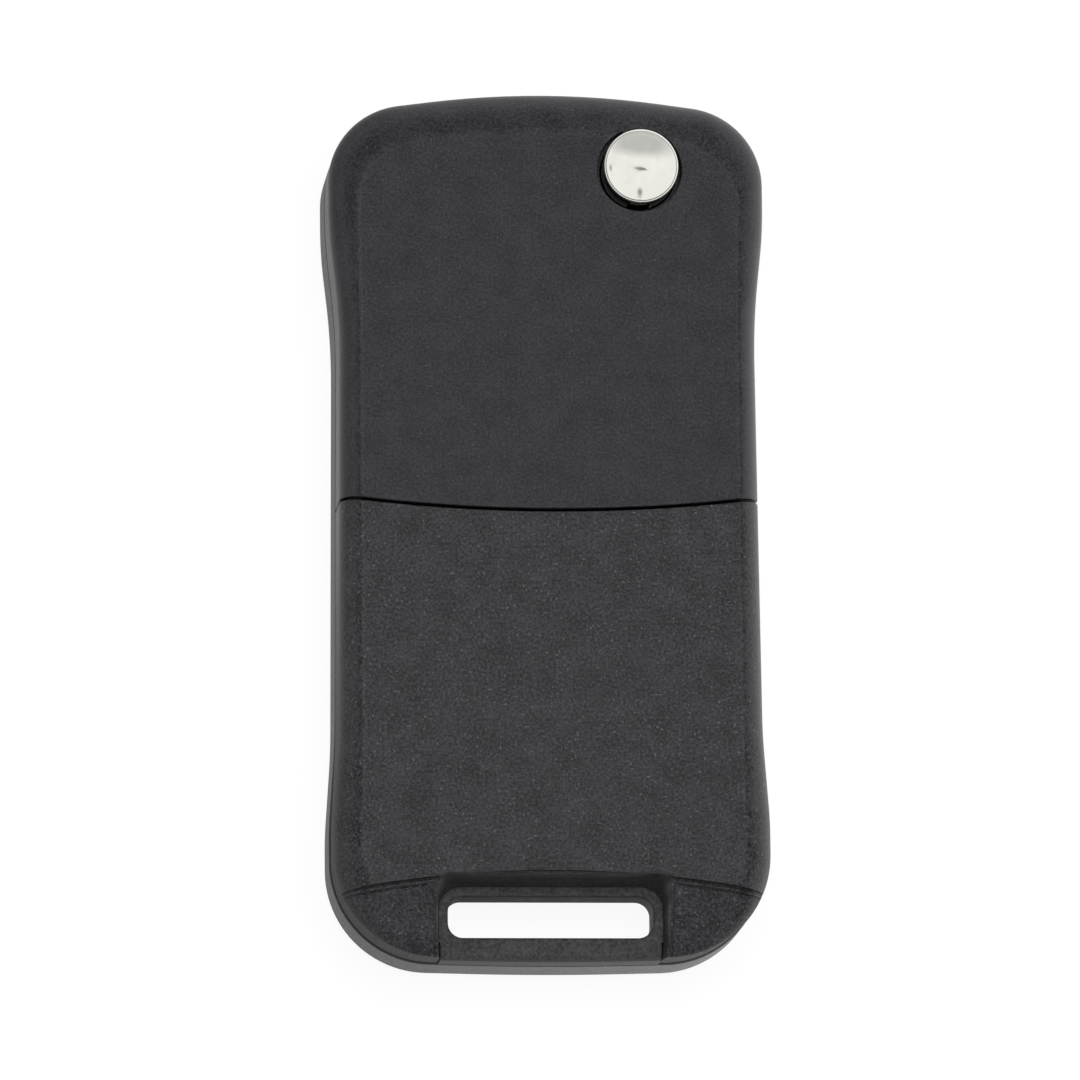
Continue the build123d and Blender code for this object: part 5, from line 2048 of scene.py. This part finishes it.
@dataclass(frozen=True)
class BoardTrim:
    """Leads of the microcontroller and a row of small parts beside it on the board."""

    chip: Spot = (-8.0, 15.5)
    chip_side: float = 7.0
    board_top: float = 5.6
    lead: tuple[float, float, float] = (0.3, 0.9, 0.15)
    leads: int = 8
    lead_pitch: float = 0.8
    lift: float = 0.01
    under_chip: float = 0.1
    small: tuple[float, float, float] = (1.0, 0.5, 0.4)
    small_places: tuple[Spot, ...] = (
        (-13.6, 19.2), (-13.6, 17.6), (-13.6, 13.4), (-13.6, 11.8),
        (3.9, 16.2), (5.3, 16.2), (5.2, 10.2), (5.2, 8.8)
    )
    small_body: tuple[float, float, float] = (0.6, 1, 0.98)
    small_end: tuple[float, float, float] = (0.22, 1.04, 1)
    small_end_at: float = 0.4

    def build(self, wardrobe: Wardrobe) -> None:
        """Lay out the leads and the small parts.

        Args:
            wardrobe: Gives it its finish.
        """
        run = (np.arange(self.leads) - (self.leads - 1) / 2) * self.lead_pitch
        reach = self.chip_side / 2 + self.lead[1] / 2 - self.under_chip
        (x, y), still = self.chip, np.zeros(self.leads)
        z = still + self.board_top + self.lead[2] / 2 + self.lift
        rows = [(x + run, y + side * reach + still) for side in (1, -1)]
        rows += [(x + side * reach + still, y + run) for side in (1, -1)]
        centre = np.concatenate([np.column_stack([px, py, z]) for px, py in rows])
        width, length, height = self.lead
        size = np.repeat([[width, length, height], [length, width, height]], 2 * self.leads, axis=0)
        leads = boxes(centre, size).as_object("chip_leads")
        wardrobe.dress(leads, "can_metal", "case")
        spots = np.array(self.small_places)
        places = np.column_stack([spots, np.full(len(spots), self.board_top)])
        middle = places + [0, 0, self.small[2] / 2 + self.lift]
        size = np.broadcast_to(np.array(self.small), middle.shape)
        bodies = boxes(middle, size * self.small_body).as_object("small_parts")
        wardrobe.dress(bodies, "chip_black", "case")
        step = np.array([self.small[0] * self.small_end_at, 0, 0])
        ends = np.concatenate([middle - step, middle + step])
        pads = boxes(ends, np.concatenate([size, size]) * self.small_end)
        wardrobe.dress(pads.as_object("small_part_ends"), "can_metal", "case")


# Studio


@dataclass(frozen=True)
class Studio:
    """Pale floor, a soft lamp, cards that the chrome mirrors, and the camera at the photograph's angle."""

    distance: float = 900.0
    per_pixel: float = 0.087
    picture: int = 1080
    sensor: float = 36.0
    clip: Range = (0.05, 10.0)
    from_below: float = 9.98
    from_left: float = 5.1
    roll: float = -0.58
    target: Place = (-0.54, -0.93, 10.0)
    surround: float = 0.4
    paper_grey: float = 0.9
    paper_rough: float = 0.9
    paper_glow: float = 0.93
    paper_mirror: Range = (0.38, 1.15)
    paper_share: float = 0.11
    paper_side: float = 1600.0
    paper_corner: float = 20.0
    paper_z: Range = (-2.0, -0.02)
    mirror_x: Range = (-45.0, 20.0)
    middle: Place = (0.0, 0.0, 8.0)
    fade: Range = (0.45, 0.98)
    band: float = 400.0
    band_thick: float = 2.0
    band_angles: Range = (68.0, 36.0)
    band_tone: float = 0.26
    top_box: tuple[Place, Sides, float] = ((20, 60, 600), (300, 300), 3.0)
    cards: tuple[tuple[str, Place, Sides, float], ...] = (
        ("grey_flag", (60, 290, 450), (620, 260), 0.62),
        ("camera_body", (80, 165, 920), (330, 64), 0.25),
        ("camera_foot", (70, -150, 920), (90, 150), 0.35),
        ("side_stand", (-330, 190, 880), (80, 150), 0.45),
    )

    def camera(self) -> None:
        """Place the camera: its line of sight leans toward -Y and -X from straight down."""
        left, below = (math.tan(math.radians(angle)) for angle in (self.from_left, self.from_below))
        back = Vector((-left, -below, 1)).normalized()
        up = Vector((0, 1, 0))
        right = up.cross(back).normalized()
        up = back.cross(right)
        axes = Matrix((right, up, back)).transposed().to_4x4()
        turn = axes @ Matrix.Rotation(math.radians(self.roll), 4, "Z")
        sight = bpy.data.cameras.new("camera")
        sight.sensor_width = self.sensor
        sight.lens = self.sensor * self.distance / (self.picture * self.per_pixel)
        sight.clip_start, sight.clip_end = self.clip
        place = (Vector(self.target) + back * self.distance) * MM
        thing = bpy.data.objects.new("camera", sight)
        thing.matrix_world = Matrix.Translation(place) @ turn
        bpy.context.scene.collection.objects.link(thing)
        bpy.context.scene.camera = thing

    def lamp(self, name: str, place: Place, size: Sides, power: float) -> None:
        """Add a soft box that faces the key.

        Args:
            name: Name of the lamp.
            place: Its place in millimetres.
            size: Its sides in millimetres.
            power: Its power in watts.
        """
        light = bpy.data.lights.new(name, "AREA")
        light.shape = "RECTANGLE"
        light.size, light.size_y = size[0] * MM, size[1] * MM
        light.energy = power
        thing = bpy.data.objects.new(name, light)
        thing.visible_glossy = False
        thing.location = Vector(place) * MM
        thing.rotation_euler = (Vector(place) - Vector(self.middle)).to_track_quat("Z", "Y").to_euler()
        bpy.context.scene.collection.objects.link(thing)

    def hang(self, sheet: bpy.types.Object, shown: Callable[[NodeBench], Feed]) -> None:
        """Give a sheet outside the picture its glow and keep it out of the camera's sight.

        Args:
            sheet: The sheet.
            shown: Makes the strength that reflections see.
        """
        bench = NodeBench(sheet.name)
        bench.surface(bench.glow("ShaderNodeEmission", shown(bench), 0.0))
        sheet.data.materials.append(bench.material)
        sheet.visible_camera = False

    def fading(self, bench: NodeBench, place: Place, size: Sides, tone: float) -> Socket:
        """Make a strength that goes from a tone at a place to white at a card's edge.

        Args:
            bench: Bench of the card's material.
            place: The card's middle in millimetres.
            size: Its sides in millimetres.
            tone: Grey value in the middle.

        Returns:
            The strength.
        """
        scale = np.array([2 / size[0], 2 / size[1], 2 / size[1]]) / MM
        shift = -np.array(place) * MM * scale
        feeds = {"Scale": tuple(scale), "Location": tuple(shift), "Vector": bench.place}
        spot = bench.add("ShaderNodeMapping", feeds).outputs["Vector"]
        far = bench.add("ShaderNodeVectorMath", {0: spot}, operation="LENGTH")
        return bench.span(far.outputs["Value"], self.fade, (tone, 1.0))

    def dim_band(self) -> None:
        """Set a dim band round the key at middle height, which darkens the shoulder beside the crease."""
        low, high = (self.band / math.tan(math.radians(angle)) for angle in self.band_angles)
        outer = self.band + self.band_thick
        profile = np.array([[self.band, low], [self.band, high], [outer, high], [outer, low]])
        sheet = lathe(profile, (0, 0), 64, closed=True).as_object("dim_band")
        self.hang(sheet, lambda bench: self.band_tone)

    def card(self, name: str, place: Place, size: Sides, tone: float) -> None:
        """Hang a card outside the picture, which faces the key and shows as a tone in its chrome.

        Args:
            name: Name of the card.
            place: Its middle in millimetres.
            size: Its sides in millimetres.
            tone: Grey value that it shows.
        """
        corners = np.array([[-1, -1], [1, -1], [1, 1], [-1, 1]]) * np.array(size) / 2
        turn = (Vector(place) - Vector(self.middle)).to_track_quat("Z", "Y").to_matrix()
        points = np.column_stack([corners, np.zeros(4)]) @ np.array(turn).T + place
        sheet = Solid(points, [[0, 1, 2, 3]]).as_object(name)
        self.hang(sheet, lambda bench: self.fading(bench, place, size, tone))

    def world(self) -> None:
        """Set a white surround that shows directly and lights at a plain level."""
        world = bpy.data.worlds.new("surround")
        world.use_nodes = True
        bpy.context.scene.world = world
        graph = Graph(world.node_tree)
        light = graph.glow("ShaderNodeBackground", 1.0, self.surround)
        graph.feed(world.node_tree.nodes["World Output"], "Surface", light)

    def floor(self) -> None:
        """Lay a white floor that keeps a faint shadow and is dimmer on the left in reflections."""
        loop = rounded_rectangle((0, 0), self.paper_side, self.paper_side, self.paper_corner, 4)
        sheet = prism(loop, *self.paper_z).as_object("studio_floor")
        bench = NodeBench("studio_paper")
        bench.fixed(Roughness=self.paper_rough)
        bench.feed(bench.shader, "Base Color", (*[self.paper_grey] * 3, 1))
        parts = bench.add("ShaderNodeSeparateXYZ", {0: bench.place}).outputs
        left, right = (edge * MM for edge in self.mirror_x)
        mirror = bench.span(parts["X"], (left, right), self.paper_mirror)
        camera = bench.add("ShaderNodeLightPath").outputs["Is Camera Ray"]
        seen = bench.add("ShaderNodeMix", {"Factor": camera, "A": mirror, "B": self.paper_glow})
        light = bench.glow("ShaderNodeEmission", seen.outputs["Result"], 0.0)
        dimmed = bench.add("ShaderNodeMixShader", {"Fac": self.paper_share, 2: bench.shader.outputs[0]})
        both = bench.add("ShaderNodeAddShader", {0: dimmed.outputs[0], 1: light})
        bench.surface(both.outputs[0])
        sheet.data.materials.append(bench.material)

    def build(self) -> None:
        """Set up the whole studio."""
        scene = bpy.context.scene
        scene.view_settings.view_transform = "Standard"
        self.camera()
        self.world()
        self.floor()
        self.lamp("top_box", *self.top_box)
        for card in self.cards:
            self.card(*card)
        self.dim_band()


CARRIED = {
    "blade_liner": "inner_black", "flip_hub": "hub_metal", "blade_pin": "spring_steel",
    "thrust_washer": "spring_steel", "keypad_sheet": "silicone", "circuit_board": "board_green",
    "microcontroller": "chip_black", "radio_chip": "chip_black", "crystal": "can_metal",
    "transponder_coil": "chip_black", "antenna_loop": "copper", "status_led": "lamp_clear",
    "light_pipe": "lamp_clear", "battery_holder": "inner_black", "contact_positive": "can_metal",
    "contact_negative": "can_metal",
}


def main() -> None:
    """Build the key piece by piece, then the studio."""
    logging.basicConfig(level=logging.INFO, format="%(message)s")
    for thing in [o for o in bpy.data.objects if o.name in ("Cube", "Light", "Camera")]:
        bpy.data.objects.remove(thing)
    wardrobe = Wardrobe()
    case = CaseShape()
    keypad = Keypad()
    FrontShell(case, keypad).build(wardrobe)
    BackShell(case).build(wardrobe)
    BatteryCover(case).build(wardrobe)
    RingInsert(case).build(wardrobe)
    InsertScrews().build(wardrobe)
    ReleaseButton(case.pivot).build(wardrobe)
    PushButtons(keypad).build(wardrobe)
    KeyBlade(case.pivot).build(wardrobe)
    CoinCell().build(wardrobe)
    FlipSpring(case.pivot).build(wardrobe)
    ButtonDomes(keypad).build(wardrobe)
    BoardTrim().build(wardrobe)
    for node, finish in CARRIED.items():
        wardrobe.carry_over(node, finish)
    Studio().build()


if __name__ == "__main__":
    main()
